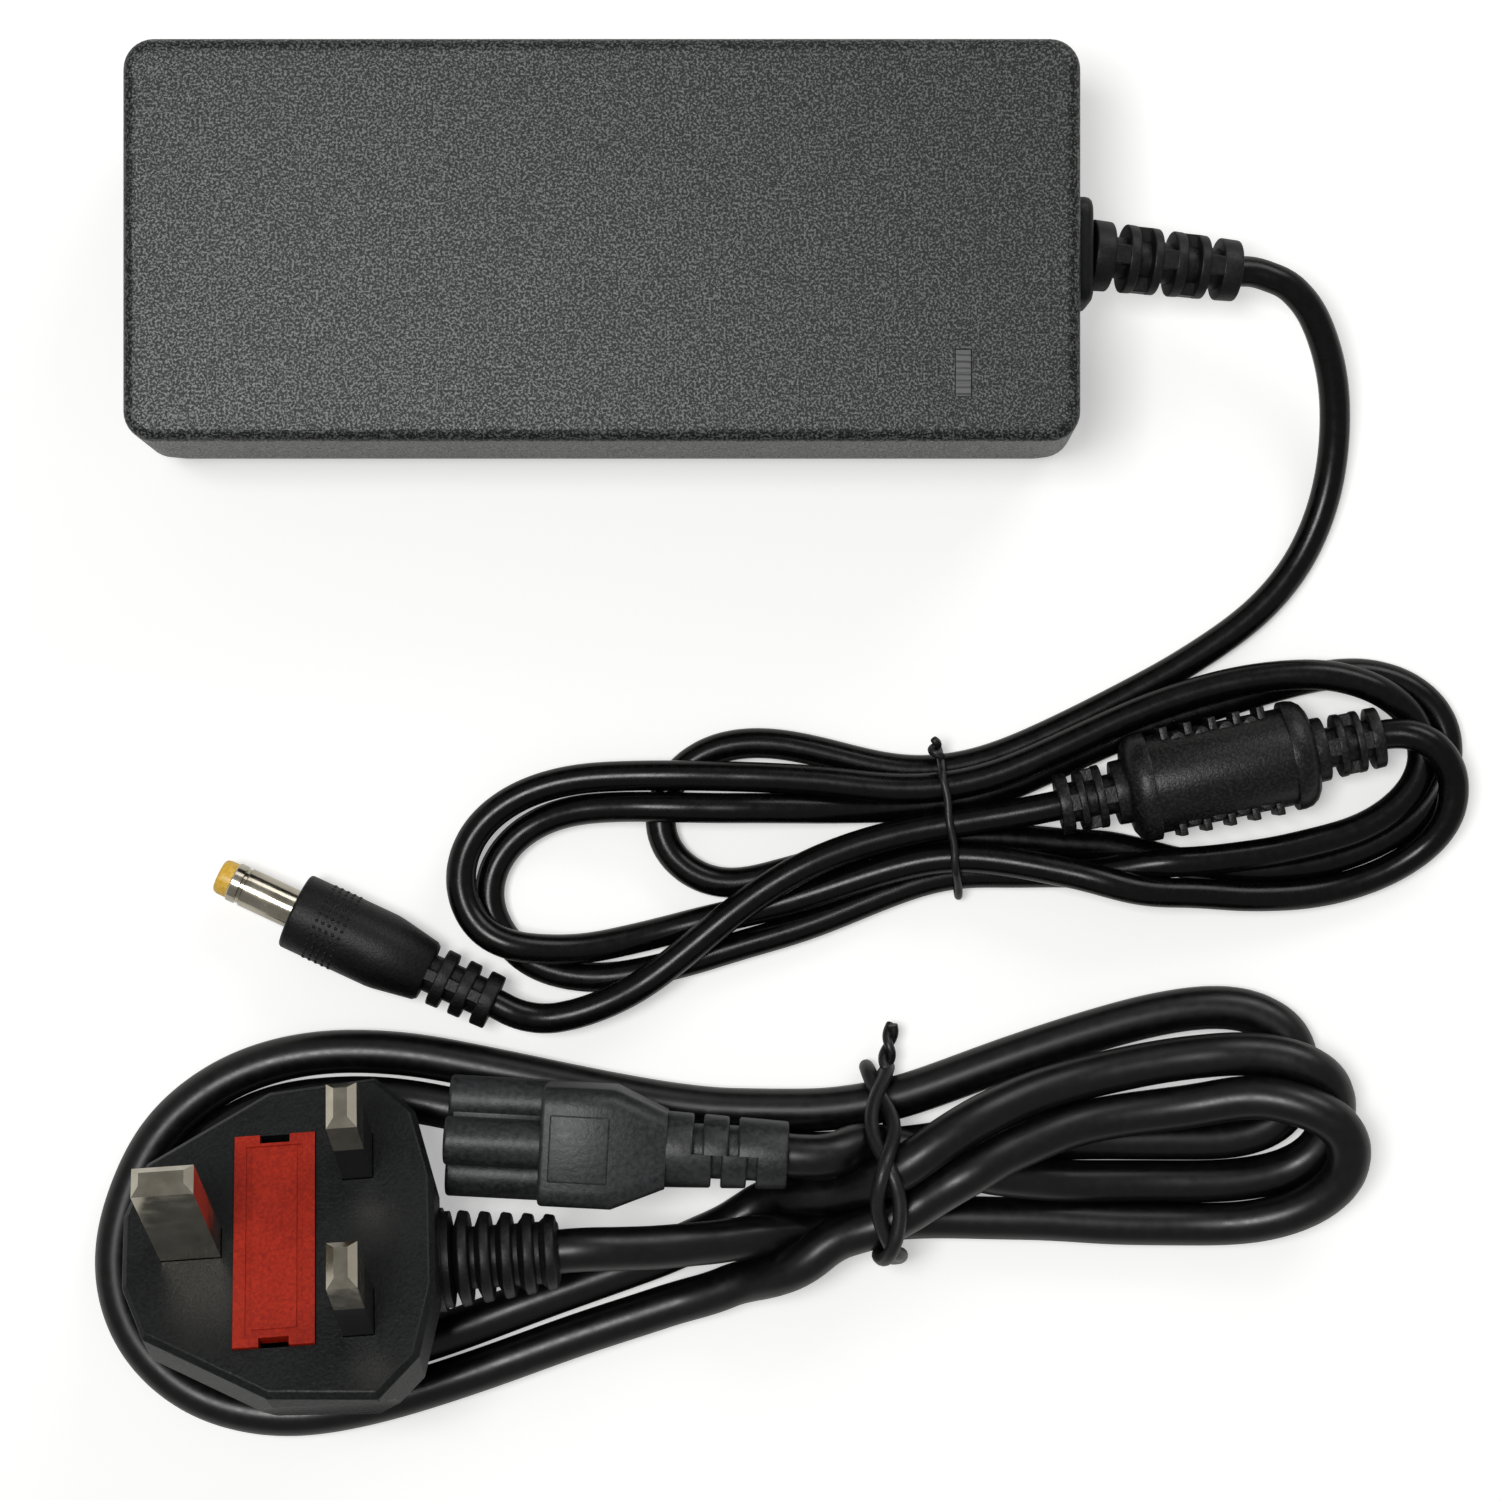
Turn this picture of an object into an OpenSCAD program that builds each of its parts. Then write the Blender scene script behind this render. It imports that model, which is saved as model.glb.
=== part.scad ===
// Laptop power adapter: the two-shell brick with its output lead, ferrite bead
// and round plug, and the separate mains lead with a fused three-pin plug.
// Millimetres, +Z up. The origin is the centre of the brick's underside, and
// +X points out of the end that the output lead leaves.

/* [Brick] */
// Length of the brick
case_l = 127; // [118:1:150]
// Width of the brick
case_w = 54; // [52:1:70]
// Height of the brick
case_h = 31; // [30:1:40]
// Height of the lower shell, up to the seam
base_h = 10; // [9:0.5:12]
// Wall of both shells
wall = 2.2; // [1.6:0.1:2.6]
// Radius of the upright corners
corner_r = 4; // [3:0.5:6]
// Rounding of the top and bottom edges
edge_r = 1.8; // [1:0.1:2.4]
// How much each side leans in from the seam to the top
draft = 0.5; // [0:0.1:0.8]
// Height of the tongue that the lower shell slides into the upper one
tongue_h = 1.6; // [1:0.1:2.5]
// Thickness of that tongue
tongue_t = 1; // [0.8:0.1:1.4]
// Gap between pieces that push together
fit_gap = 0.1; // [0.05:0.01:0.2]

/* [Indicator window] */
// Length of the window, across the brick
window_l = 6.1; // [4:0.1:8]
// Width of the window, along the brick
window_w = 2; // [1.5:0.1:3]
// Distance of the window from the output end
window_from_end = 16; // [12:0.5:20]
// Distance of the window from the brick's long side
window_from_side = 9.4; // [8:0.2:15]

/* [Circuit board] */
// Gap between the board's long edges and the side walls
board_side_gap = 2.8; // [2.3:0.1:3.8]
// Gap between the board and the inlet block
board_inlet_gap = 4.5; // [3.5:0.1:6]
// Thickness of the board
board_t = 1.6; // [1.2:0.1:2]
// Height of the board's underside
board_z = 6.6; // [6:0.1:7.5]
// Gap between the board and the output end wall
board_end_gap = 4.3; // [3:0.1:6]

/* [Mains inlet] */
// Distance between the live and neutral contacts
contact_pitch = 10; // [9:0.5:11]
// How far the earth contact lies above the other two
earth_rise = 6.5; // [6:0.1:7]
// Diameter of the inlet's round pins
inlet_pin_d = 2.4; // [2:0.1:2.6]
// Radius of each of the connector's three lobes
lobe_r = 3.3; // [3:0.1:3.8]
// Gap around the connector in the inlet
lobe_gap = 0.35; // [0.2:0.05:0.5]
// Length of the connector's nose
nose_l = 13; // [11:0.5:15]
// Width of the inlet block
inlet_w = 21; // [20.5:0.5:24]
// Height of the inlet block
inlet_h = 17.4; // [17:0.2:19]
// Depth of the inlet block
inlet_depth = 18; // [17:0.5:20]

/* [Output lead] */
// Diameter of the output cord
dc_cord_d = 4.2; // [3.6:0.1:4.6]
// Diameter of the big end of the brick's strain relief
dc_relief_d = 9.6; // [8.5:0.1:11]
// Length of the slotted tail of the brick's strain relief
dc_relief_l = 21; // [18:0.5:24]
// Diameter of the ferrite bead's moulding
bead_d = 14; // [13:0.2:14.4]
// Length of the ferrite bead's moulding
bead_l = 27; // [24:0.5:28]
// Length of each strain relief on the bead
bead_relief_l = 9.2; // [8:0.2:9.6]
// Diameter of each strain relief on the bead
bead_relief_d = 8.8; // [8:0.1:9.2]
// Diameter of the plug's metal barrel
barrel_d = 5.5; // [5.5:0.1:6.5]
// Bore of the plug's inner contact
barrel_bore_d = 1.7; // [1.5:0.1:2.1]
// Length of the bare barrel
barrel_l = 9.5; // [9:0.5:11]
// Diameter of the plug's grip
grip_d = 10.8; // [10:0.1:11.4]
// Length of the plug's grip
grip_l = 20.4; // [18:0.2:21]
// Length of the plug's strain relief
grip_relief_l = 11; // [9:0.5:11]

/* [Mains lead] */
// Diameter of the mains cord
ac_cord_d = 6; // [5.4:0.1:6.2]
// Length of the three-pin plug's face, along the cord
plug_l = 41.5; // [40:0.5:42]
// Width of the three-pin plug's face
plug_w = 45.8; // [45:0.2:46.4]
// Depth of the three-pin plug's body
plug_depth = 22; // [21:0.5:22]
// Distance between the live and neutral pins
pin_pitch = 22.2; // [22:0.1:22.4]
// Distance from the earth pin to the line of the other two
earth_pitch = 22.2; // [22:0.1:22.4]
// Length of the live and neutral pins below the face
pin_l = 17.7; // [17.2:0.1:18.2]
// Length of the earth pin
earth_l = 22.7; // [22.2:0.1:23.2]
// Length of the insulating sleeve on the live and neutral pins
sleeve_l = 9.5; // [9:0.1:10]
// Length of the fuse carrier
carrier_l = 30; // [29:0.2:31]
// Width of the fuse carrier
carrier_w = 10.8; // [10:0.1:11.2]
// Length of the cartridge fuse
fuse_l = 25.4; // [25.4:0.1:26]
// Diameter of the cartridge fuse
fuse_d = 6.3; // [6.2:0.1:6.4]
// Width of the mains connector's housing
socket_w = 16.2; // [16:0.1:16.8]
// Height of the mains connector's housing
socket_h = 14.2; // [14:0.1:14.8]
// Length of the mains connector's housing
socket_l = 17; // [15:0.5:17.5]
// Length of the mains connector's strain relief
socket_relief_l = 16.5; // [14:0.5:17]

/* [Hidden] */
$fn = 48;
hull_fn = 32;
tiny = 0.01;
through = 1;

// Brick
cavity_l = case_l - 2 * wall;
cavity_w = case_w - 2 * wall;
cavity_r = corner_r - wall + 1;
mid_z = case_h / 2;
roof_z = case_h - wall;
board_top = board_z + board_t;
board_w = cavity_w - 2 * board_side_gap;
board_edge = board_w / 2;
board_x0 = inlet_depth - case_l / 2 + board_inlet_gap;
board_x1 = case_l / 2 - wall - board_end_gap;
board_l = board_x1 - board_x0;
layout_l = 98;
post_d = 5;
post_inset = 2.6;
window_pos = [case_l / 2 - window_from_end, window_from_side - case_w / 2];
window_flange = 1.2;
window_rib = 0.7;
led_d = 3;
led_h = 4.4;
led_gap = 0.3;
led_leg = 0.5;
led_leg_pitch = 1.27;

// Shield over the board
spreader_t = 0.5;
sheet_t = 0.3;
shield_x0 = board_x0 + 2;
shield_x1 = window_pos[0] - window_w / 2 - window_flange - 2;
shield_top = roof_z - fit_gap;
shield_w = cavity_w - 2 * tongue_t - 6 * fit_gap;
sheet_top = shield_top - spreader_t;
room_h = sheet_top - sheet_t - board_top;

// Tall components, each a named clearance below the insulating sheet
pad_t = 2.7;
bulk_clear = 2.1;
sink_clear = 3.7;
can_clear = 4.2;
film_clear = 5.2;
bulk_d = room_h - bulk_clear;
sink_h = room_h - sink_clear;
transformer_at = [64, -2];
transformer_h = room_h - pad_t;
flange_t = 3;
choke_d = 15;
choke_at = [18, 12 - board_edge];
device_gap = 0.1;
sink_off = 4;
sink_t = 2;
device_t = 4.4;
device_off = sink_off + sink_t / 2 + device_t / 2 + device_gap;

// Inlet
inlet_x0 = -case_l / 2;
inlet_x1 = inlet_x0 + inlet_depth;
recess_depth = nose_l + 0.5;
inlet_pin_l = 9.5;
inlet_root_d = inlet_pin_d + 0.6;
lobe_drop = earth_rise / 2;
pin_tail = 3;

// Heights of the bundled cords, in layers
strand = dc_cord_d + 0.1;
output_hank_h = 2 * strand;
mains_hank_h = 2 * ac_cord_d + 0.4;
mains_loop_h = ac_cord_d + 0.2;
mains_neck_h = 3 * ac_cord_d + 0.6;

// Output strain relief
relief_flange_l = 2;
relief_flange_w = 14.4;
relief_flange_h = 13.6;
relief_neck_w = 11;
relief_anchor_l = 2.5;
anchor_x = case_l / 2 - wall - fit_gap - relief_anchor_l;
relief_swing = -5;
relief_root = [case_l / 2 + relief_flange_l, 0, mid_z];
relief_dip = 9;

// Ferrite bead
bead_pos = [84.2, -70, bead_d / 2 + 0.05];
bead_turn = 12;
bead_round = 2.5;
core_d = 10.4;
core_bore = 5;
core_l = 21;
tooth_w = 2;
tooth_pitch = 4.2;
tooth_out = 0.8;
teeth = 5;

// Output plug
plug_tip_l = 2;
plug_tip_d = barrel_d - 0.6;
dc_plug_end = [-15, -102.5, grip_d / 2];
dc_plug_turn = -25;
grip_taper_l = 6;
grip_back_d = 8.4;
grip_relief_d = 7.6;
barrel_root = 4;
barrel_root_d = barrel_d - 0.6;
contact_d = 2.5;
liner_bore = contact_d + fit_gap;
liner_d = 3.7;
barrel_bore = liner_d + fit_gap;

// Three-pin plug
plug_tilt = 30;
plug_turn = 4;
plug_rim = 8;
plug_back = 0.62;
plug_lift = plug_depth * cos(plug_tilt) + plug_w / 2 * plug_back * sin(plug_tilt) + 0.05;
plug_pos = [-43.5, -132, plug_lift];
plug_edge = 0.8;
cord_drop = 11;
live_u = earth_pitch / 2;
live_w = 6.35;
live_t = 4;
earth_w = 8;
earth_t = 4;
pin_root = 5;
pin_chamfer = 1.1;
sleeve_t = 0.6;
carrier_t = 1.6;
carrier_proud = 0.5;
fuse_drop = carrier_t + fuse_d / 2 + 0.05;
cap_l = 6.2;
clip_t = 0.6;
clip_gap = 0.25;
pocket_depth = fuse_drop + fuse_d / 2 + clip_gap + clip_t;
mains_relief_l = 15.5;
mains_relief_d = 13;
mains_relief_tip = 9.6;
fins = 5;
fin_gap = 1.3;
relief_u = plug_l * 0.51 + 0.3;
cord_u = relief_u + mains_relief_l;

// Mains connector
socket_pos = [-21.8, -119.8, mains_loop_h + socket_h / 2 + 0.3];
socket_turn = -3;
socket_relief_d = 10.4;
contact_bore = inlet_pin_d + 0.25;
contact_od = contact_bore + 0.8;

// Cord routes: points chosen by hand along each free stretch
run_start = relief_root + relief_dir(dc_relief_l);
output_run_route = [
    run_start, run_start + relief_dir(4), [94.5, -4.6, 11.6], [98, -10.5, 9.4], [100, -18, 6.6],
    [100.3, -26, 4.2], [98.8, -34.5, 2.8], [95, -42.5, 2.3], [89.5, -48.5, 2.3], [84.5, -52, 2.3]
];
bead_end = bead_l / 2 + bead_relief_l;
bead_link_l = 6.8;
bead_link_route = [bead_point(bead_end), bead_point(bead_end + bead_link_l)];
bead_exit_route = [bead_point(-bead_end), bead_point(-bead_end - 3), [56, -76, 6.7], [52.4, -76.6, 6.5]];
plug_cord_route = [
    [3.6, -101.6, 6.3], [2, -102.8, 6.2], [-1.5, -104.6, 6], dc_plug_point(9) + [0, 0, 0.2],
    dc_plug_point(5), dc_plug_point(0)
];
mains_plug_route = [
    plug_point(cord_u, 0, -cord_drop), plug_point(cord_u + 6, 0, -cord_drop), [6, -134.4, 15.6],
    [15, -133.6, 13.6], [24, -132.8, 11.2], [30, -132.3, 10], [33, -132.1, 9.8]
];
mains_socket_route = [socket_point(0), socket_point(3), [30.5, -122.5, 12.7], [33, -122.6, 12.6]];

// Ties, and the outline of each bundle seen from above
output_tie_x = 47;
output_tie_y = [-86.6, -66.6];
output_tie_h = output_hank_h + 0.2;
wire_d = 1.4;
mains_tie_x = 38;
mains_tie_y = [-138.6, -116];
mains_tie_top = mains_neck_h + 0.4;
mains_tie_w = 3;
mains_tie_t = 1;
tie_bite = 0.3;
tail_d = 2.2;
tail_l = 9;
output_outline = [
    [56, -66.8], [66, -62.2], [74, -57.2], [83.2, -50.1], [85.8, -53.9], [94, -52.6], [104, -53],
    [112.3, -56.9], [118.5, -64], [119.6, -71], [118.5, -77.5], [114.5, -83], [108.5, -87],
    [101, -88.9], [88, -89.3], [74, -88.2], [60, -86], [47, -86.4], [34, -91], [24, -94.6],
    [13.5, -97.8], [10.5, -98.8], [4.9, -103.3], [2.2, -100], [-2, -100.4],
    [-10, -99.4], [-17, -96.2], [-21.5, -91.5], [-23.2, -85],
    [-21.8, -78.5], [-17, -73.2], [-9, -70], [4, -69],
    [7.5, -66.4], [13.5, -64.4], [20, -63.8], [28, -65], [36, -67.2], [47, -67.2]
];
brick_side_opening = [
    [52.4, -73.6], [59, -69.4], [66, -65.6], [78, -62.4], [97, -58.6], [106, -58.2], [112.4, -60.9],
    [113.7, -66.8], [114.4, -71], [110.5, -78.8], [105, -81], [88, -79.6], [74, -80.2], [60, -80.4],
    [52.4, -79.4]
];
plug_side_opening = [
    [-9, -77], [4.2, -76.8], [5, -80], [6.8, -84.6], [10, -87.8], [4, -90.6], [-2, -91.6], [-9.5, -91.4],
    [-14.4, -88.2], [-15.6, -84], [-14, -79.6]
];
small_opening = [[9.6, -76.6], [25, -77], [30, -79.6], [25, -82], [14, -84.8], [10.8, -82]];
mains_left_outline = [
    [33, -116.4], [20, -114.6], [4, -112.4], [-12, -111.2], [-24, -108], [-36, -106.2],
    [-48, -106.6], [-58, -110], [-66, -117], [-70.5, -126], [-72, -136], [-70.8, -145],
    [-66.5, -153], [-59, -159.3],
    [-49, -162.6], [-37, -162.6], [-24, -159.6], [-9, -153.5], [6, -147.4], [21, -142.6], [33, -138.2]
];
mains_left_opening = [
    [22, -128.5], [6, -125.2], [-12, -124], [-24, -121], [-36, -118.8], [-46, -119.2], [-53, -122.4],
    [-57.4, -128], [-59, -136], [-57.6, -143], [-53.6, -147.6], [-48, -149.8], [-38, -149.8],
    [-26, -146.8], [-12, -141], [4, -134.6]
];
mains_neck_outline = [
    [33, -116.4], [44, -115.4], [56, -110.6], [62, -108], [62, -139], [50, -139], [33, -138.2]
];
mains_right_outline = [
    [44, -115.4], [56, -110.6], [70, -104.8], [84, -101.4], [95, -102], [102, -107],
    [106.2, -115], [106.6, -122], [103.6, -129], [96, -134.2], [84, -136.8], [70, -138.2],
    [60, -138.8], [44, -138.8]
];
mains_right_opening = [
    [66, -125.2], [78, -122.6], [90, -121.8], [94.4, -124], [92, -127], [80, -129.6], [66, -130.2]
];

// Placing
function relief_dir(s) = s * [
    cos(relief_dip) * cos(relief_swing), cos(relief_dip) * sin(relief_swing), -sin(relief_dip)
];
function bead_point(s) = bead_pos + s * [cos(bead_turn), sin(bead_turn), 0];
function dc_plug_point(s) = dc_plug_end + s * [cos(dc_plug_turn), sin(dc_plug_turn), 0];
function socket_point(s) =
    socket_pos + (nose_l + socket_l + socket_relief_l + s) * [cos(socket_turn), sin(socket_turn), 0];
function turned(x, y, a) = [x * cos(a) - y * sin(a), x * sin(a) + y * cos(a)];
function plug_point(u, v, w) =
    let(flat = turned(u, v * cos(plug_tilt) + w * sin(plug_tilt), plug_turn))
    plug_pos + [flat[0], flat[1], w * cos(plug_tilt) - v * sin(plug_tilt)];

module place_bead() {
    translate(bead_pos) rotate([0, 0, bead_turn]) rotate([0, 90, 0]) children();
}

module place_output_plug() {
    translate(dc_plug_end) rotate([0, -90, dc_plug_turn]) children();
}

module place_mains_plug() {
    translate(plug_pos) rotate([-plug_tilt, 0, plug_turn]) children();
}

module place_mains_socket() {
    translate(socket_pos) rotate([0, 0, socket_turn]) children();
}

// Shared shapes
function unit(v) = v / norm(v);
function heading(p, i) = unit(p[min(i + 1, len(p) - 1)] - p[max(i - 1, 0)]);
function sideways(p, i) = unit(cross([0, 0, 1], heading(p, i)));
function ring_point(p, i, a, r) =
    p[i] + r * (cos(a) * sideways(p, i) + sin(a) * cross(heading(p, i), sideways(p, i)));

module cord_tube(route, d, sides) {
    last = len(route) - 1;
    points = [for (i = [0:last]) for (s = [0:sides - 1]) ring_point(route, i, 360 * s / sides, d / 2)];
    walls = [
        for (i = [0:last - 1]) for (s = [0:sides - 1])
            let(a = i * sides + s, b = i * sides + (s + 1) % sides) [a, a + sides, b + sides, b]
    ];
    ends = [[for (s = [0:sides - 1]) s], [for (s = [sides - 1 : -1 : 0]) last * sides + s]];
    polyhedron(points, concat(walls, ends));
}

// Upright block with round corners, centred on the Z axis and standing on z = 0
module round_block(l, w, h, r) {
    translate([-l / 2 + r, -w / 2, 0]) cube([l - 2 * r, w, h]);
    translate([-l / 2, -w / 2 + r, 0]) cube([l, w - 2 * r, h]);
    for (x = [-1, 1]) {
        for (y = [-1, 1]) {
            translate([x * (l / 2 - r), y * (w / 2 - r), 0]) cylinder(r = r, h = h);
        }
    }
}

module centred_box(l, w, h) {
    translate([-l / 2, -w / 2, 0]) cube([l, w, h]);
}

// One shell's outside: full size at z = 0, leaning in to a rounded edge at z = h
module shell_outside(h) {
    hull() {
        for (x = [-1, 1]) {
            for (y = [-1, 1]) {
                translate([x * (case_l / 2 - corner_r), y * (case_w / 2 - corner_r), 0]) {
                    cylinder(r = corner_r, h = tiny, $fn = hull_fn);
                    translate([-x * draft, -y * draft, h - edge_r])
                        rotate_extrude($fn = hull_fn)
                        translate([corner_r - edge_r, 0])
                        intersection() {
                            circle(r = edge_r, $fn = hull_fn);
                            square(edge_r);
                        }
                }
            }
        }
    }
}

// Moulded relief of stepped blocks, each with a window cut from both sides in turn
module slotted_relief(length, base_d, tip_d, cord_d, blocks, slot) {
    core = cord_d + 1.6;
    pitch = length / blocks;
    fall = (base_d - tip_d) / blocks;
    window = (pitch - slot) / 3;
    cylinder(d = core, h = length);
    difference() {
        for (i = [0:blocks - 1]) {
            gap = i > 0 ? slot : 0;
            translate([0, 0, i * pitch + gap])
                cylinder(d1 = base_d - i * fall, d2 = base_d - (i + 1) * fall, h = pitch - gap);
        }
        for (i = [0:blocks - 1]) {
            translate([0, 0, (i + 0.5) * pitch + slot / 2]) rotate([0, 0, 90 * (i % 2)]) {
                for (x = [-1, 1]) {
                    translate([x * (core + base_d) / 2, 0, 0])
                        cube([base_d, base_d / 3, window], center = true);
                }
            }
        }
    }
}

// Bar with all four edges of its tip chamfered, standing on z = 0
module chamfered_face(side, h) {
    c = pin_chamfer;
    half = side / 2;
    polygon([[-half, 0], [half, 0], [half, h - c], [half - c, h], [c - half, h], [-half, h - c]]);
}

module pin_bar(l, w, h) {
    intersection() {
        translate([0, w / 2, 0]) rotate([90, 0, 0]) linear_extrude(w) chamfered_face(l, h);
        translate([-l / 2, 0, 0]) rotate([90, 0, 90]) linear_extrude(l) chamfered_face(w, h);
    }
}

// Brick shells
module inlet_hole() {
    translate([inlet_x0 + inlet_depth / 2 - through, 0, mid_z - inlet_h / 2 - fit_gap]) {
        centred_box(inlet_depth + 2 * through, inlet_w + 2 * fit_gap, inlet_h + 2 * fit_gap);
    }
}

module relief_hole() {
    hole_w = relief_neck_w + 2 * fit_gap;
    translate([case_l / 2, 0, mid_z - hole_w / 2]) centred_box(4 * wall, hole_w, hole_w);
}

// Room in the tongue for the relief's inner flange
module anchor_room() {
    translate([anchor_x + relief_anchor_l / 2, 0, mid_z - relief_flange_h / 2 - fit_gap])
        centred_box(relief_anchor_l + 2 * fit_gap, relief_flange_w + 2 * fit_gap, relief_flange_h);
}

module top_cover() {
    color("#26282a") difference() {
        translate([0, 0, base_h]) shell_outside(case_h - base_h);
        translate([0, 0, base_h - through])
            round_block(cavity_l, cavity_w, roof_z - base_h + through, cavity_r);
        translate([window_pos[0], window_pos[1], roof_z - through])
            centred_box(window_w + 2 * fit_gap, window_l + 2 * fit_gap, wall + 2 * through);
        inlet_hole();
        relief_hole();
    }
}

module bottom_cover() {
    tongue_l = cavity_l - 2 * fit_gap;
    tongue_w = cavity_w - 2 * fit_gap;
    color("#202224") difference() {
        union() {
            translate([0, 0, base_h]) mirror([0, 0, 1]) shell_outside(base_h);
            translate([0, 0, base_h]) round_block(tongue_l, tongue_w, tongue_h, cavity_r - fit_gap);
        }
        translate([0, 0, wall])
            round_block(tongue_l - 2 * tongue_t, tongue_w - 2 * tongue_t, case_h, cavity_r - tongue_t);
        inlet_hole();
        relief_hole();
        anchor_room();
    }
    color("#202224") board_posts();
}

module board_posts() {
    for (x = [board_x0 + post_inset, board_x1 - post_inset]) {
        for (y = [-1, 1]) {
            translate([x, y * (board_edge - post_inset), wall - tiny])
                cylinder(d = post_d, h = board_z - wall + tiny);
        }
    }
}

module indicator_window() {
    color("#8a9096") translate([window_pos[0], window_pos[1], 0]) {
        translate([0, 0, roof_z]) centred_box(window_w, window_l, wall - 0.3);
        for (y = [-window_l / 2 + window_rib : 2 * window_rib : window_l / 2 - window_rib]) {
            translate([0, y, roof_z]) centred_box(window_w, window_rib, wall - 0.1);
        }
        translate([0, 0, roof_z - 1]) {
            centred_box(window_w + 2 * window_flange, window_l + 2 * window_flange, 1);
        }
    }
}

module indicator_led() {
    led_top = roof_z - 1 - led_gap;
    color("#d8e6dc") translate([window_pos[0], window_pos[1], 0]) {
        translate([0, 0, led_top - led_h]) cylinder(d = led_d, h = led_h);
        for (y = [-1, 1]) {
            translate([0, y * led_leg_pitch, board_top])
                centred_box(led_leg, led_leg, led_top - led_h - board_top);
        }
    }
}

// Cloverleaf outline shared by the inlet's recess and the connector's nose
module clover(r, length) {
    web = contact_pitch / 2;
    for (y = [-web, web]) {
        translate([0, y, -lobe_drop]) rotate([0, 90, 0]) cylinder(r = r, h = length);
    }
    translate([0, 0, lobe_drop]) rotate([0, 90, 0]) cylinder(r = r, h = length);
    rotate([90, 0, 90]) linear_extrude(length) polygon([
        [-web, -lobe_drop - r], [web, -lobe_drop - r], [web, -lobe_drop], [r, lobe_drop],
        [-r, lobe_drop], [-web, -lobe_drop]
    ]);
}

module at_contacts() {
    for (p = [[-contact_pitch / 2, -lobe_drop], [contact_pitch / 2, -lobe_drop], [0, lobe_drop]]) {
        translate([0, p[0], p[1]]) rotate([0, 90, 0]) children();
    }
}

module ac_inlet() {
    color("#17181a") difference() {
        translate([inlet_x0 + inlet_depth / 2, 0, mid_z - inlet_h / 2])
            centred_box(inlet_depth, inlet_w, inlet_h);
        translate([inlet_x0 - through, 0, mid_z]) clover(lobe_r + lobe_gap, recess_depth + through);
        translate([inlet_x0, 0, mid_z]) at_contacts() cylinder(d = inlet_root_d, h = inlet_depth + through);
    }
}

module inlet_pins() {
    foot = inlet_pin_d / 2;
    color("#b9b4a4") translate([inlet_x0 + recess_depth - inlet_pin_l, 0, mid_z]) at_contacts() {
        cylinder(d = inlet_pin_d, h = inlet_pin_l + tiny);
        translate([0, 0, inlet_pin_l])
            cylinder(d = inlet_root_d, h = inlet_depth - recess_depth + pin_tail);
    }
    color("#b9b4a4") translate([inlet_x1 + pin_tail - foot, 0, 0]) {
        for (p = [[-contact_pitch / 2, -lobe_drop], [contact_pitch / 2, -lobe_drop], [0, lobe_drop]]) {
            translate([0, p[0], board_top]) cylinder(d = inlet_pin_d - 0.4, h = mid_z + p[1] - board_top);
        }
    }
}

// Board and what stands on it
module circuit_board() {
    color("#2f6b3a") translate([(board_x0 + board_x1) / 2, 0, board_z])
        centred_box(board_l, board_w, board_t);
}

module on_board(x, y) {
    translate([board_x0 + x * board_l / layout_l, y, board_top]) children();
}

module input_fuse() {
    color("#5b3a24") on_board(7, 4.5 - board_edge) cylinder(d = 7.6, h = 7.4);
}

module inrush_thermistor() {
    color("#24302a") on_board(8.5, board_edge - 7) {
        translate([0, 2, 6.2]) rotate([90, 0, 0]) cylinder(d = 9.6, h = 4);
        for (x = [-1, 1]) {
            translate([x * 2.5, 0, 0]) cylinder(d = 0.8, h = 3);
        }
    }
}

module x_capacitor() {
    color("#d8b13a") on_board(18, board_edge - 10.5)
        centred_box(8.5, 2 * board_edge - 26, room_h - film_clear);
}

module choke_core() {
    color("#3b3d40") on_board(choke_at[0], choke_at[1]) translate([4, 0, 8.6]) rotate([0, -90, 0])
    difference() {
        cylinder(d = choke_d, h = 8);
        translate([0, 0, -through]) cylinder(d = 8, h = 8 + 2 * through);
    }
}

module choke_windings() {
    color("#a8622c") on_board(choke_at[0], choke_at[1]) translate([0, 0, 8.6]) {
        for (y = [-1, 1]) {
            translate([0, y * 5.75, 0]) difference() {
                translate([0, 0, -2.5]) centred_box(11, 5.6, 5);
                translate([-4.05, -y * 5.75, 0]) rotate([0, 90, 0]) difference() {
                    cylinder(d = choke_d + fit_gap, h = 8.1);
                    translate([0, 0, -through]) cylinder(d = 7.9, h = 8.1 + 2 * through);
                }
            }
        }
    }
    color("#a8622c") on_board(choke_at[0], choke_at[1]) {
        for (y = [-1, 1]) {
            translate([4.8, y * 7.4, 0]) cylinder(d = 1, h = 6.3);
        }
    }
}

module bridge_rectifier() {
    color("#202225") on_board(27, board_edge - 10) centred_box(4, 16, 12);
}

module bulk_capacitor() {
    color("#1f3a5f") on_board(39, 11 - board_edge) translate([-13, 0, bulk_d / 2 + 0.2]) rotate([0, 90, 0])
        cylinder(d = bulk_d, h = 26);
}

module heatsink(length, pitch) {
    fin_z = 3;
    centred_box(length, sink_t, sink_h);
    for (x = [-2 * pitch : pitch : 2 * pitch]) {
        translate([x, sink_t / 2 + 0.6, fin_z]) centred_box(1, 1.4, sink_h - fin_z);
    }
}

// Flat power device standing against a heatsink on its three legs
module power_device() {
    translate([0, 0, 3]) centred_box(10, device_t, 9.4);
    for (x = [-2.54, 0, 2.54]) {
        translate([x, 0, 0]) centred_box(0.8, 0.6, 3);
    }
}

module primary_heatsink() {
    color("#b4b7ba") on_board(42, board_edge - sink_off) heatsink(20, 4);
}

module switching_transistor() {
    color("#1c1d1f") on_board(42, board_edge - device_off) power_device();
}

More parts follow.
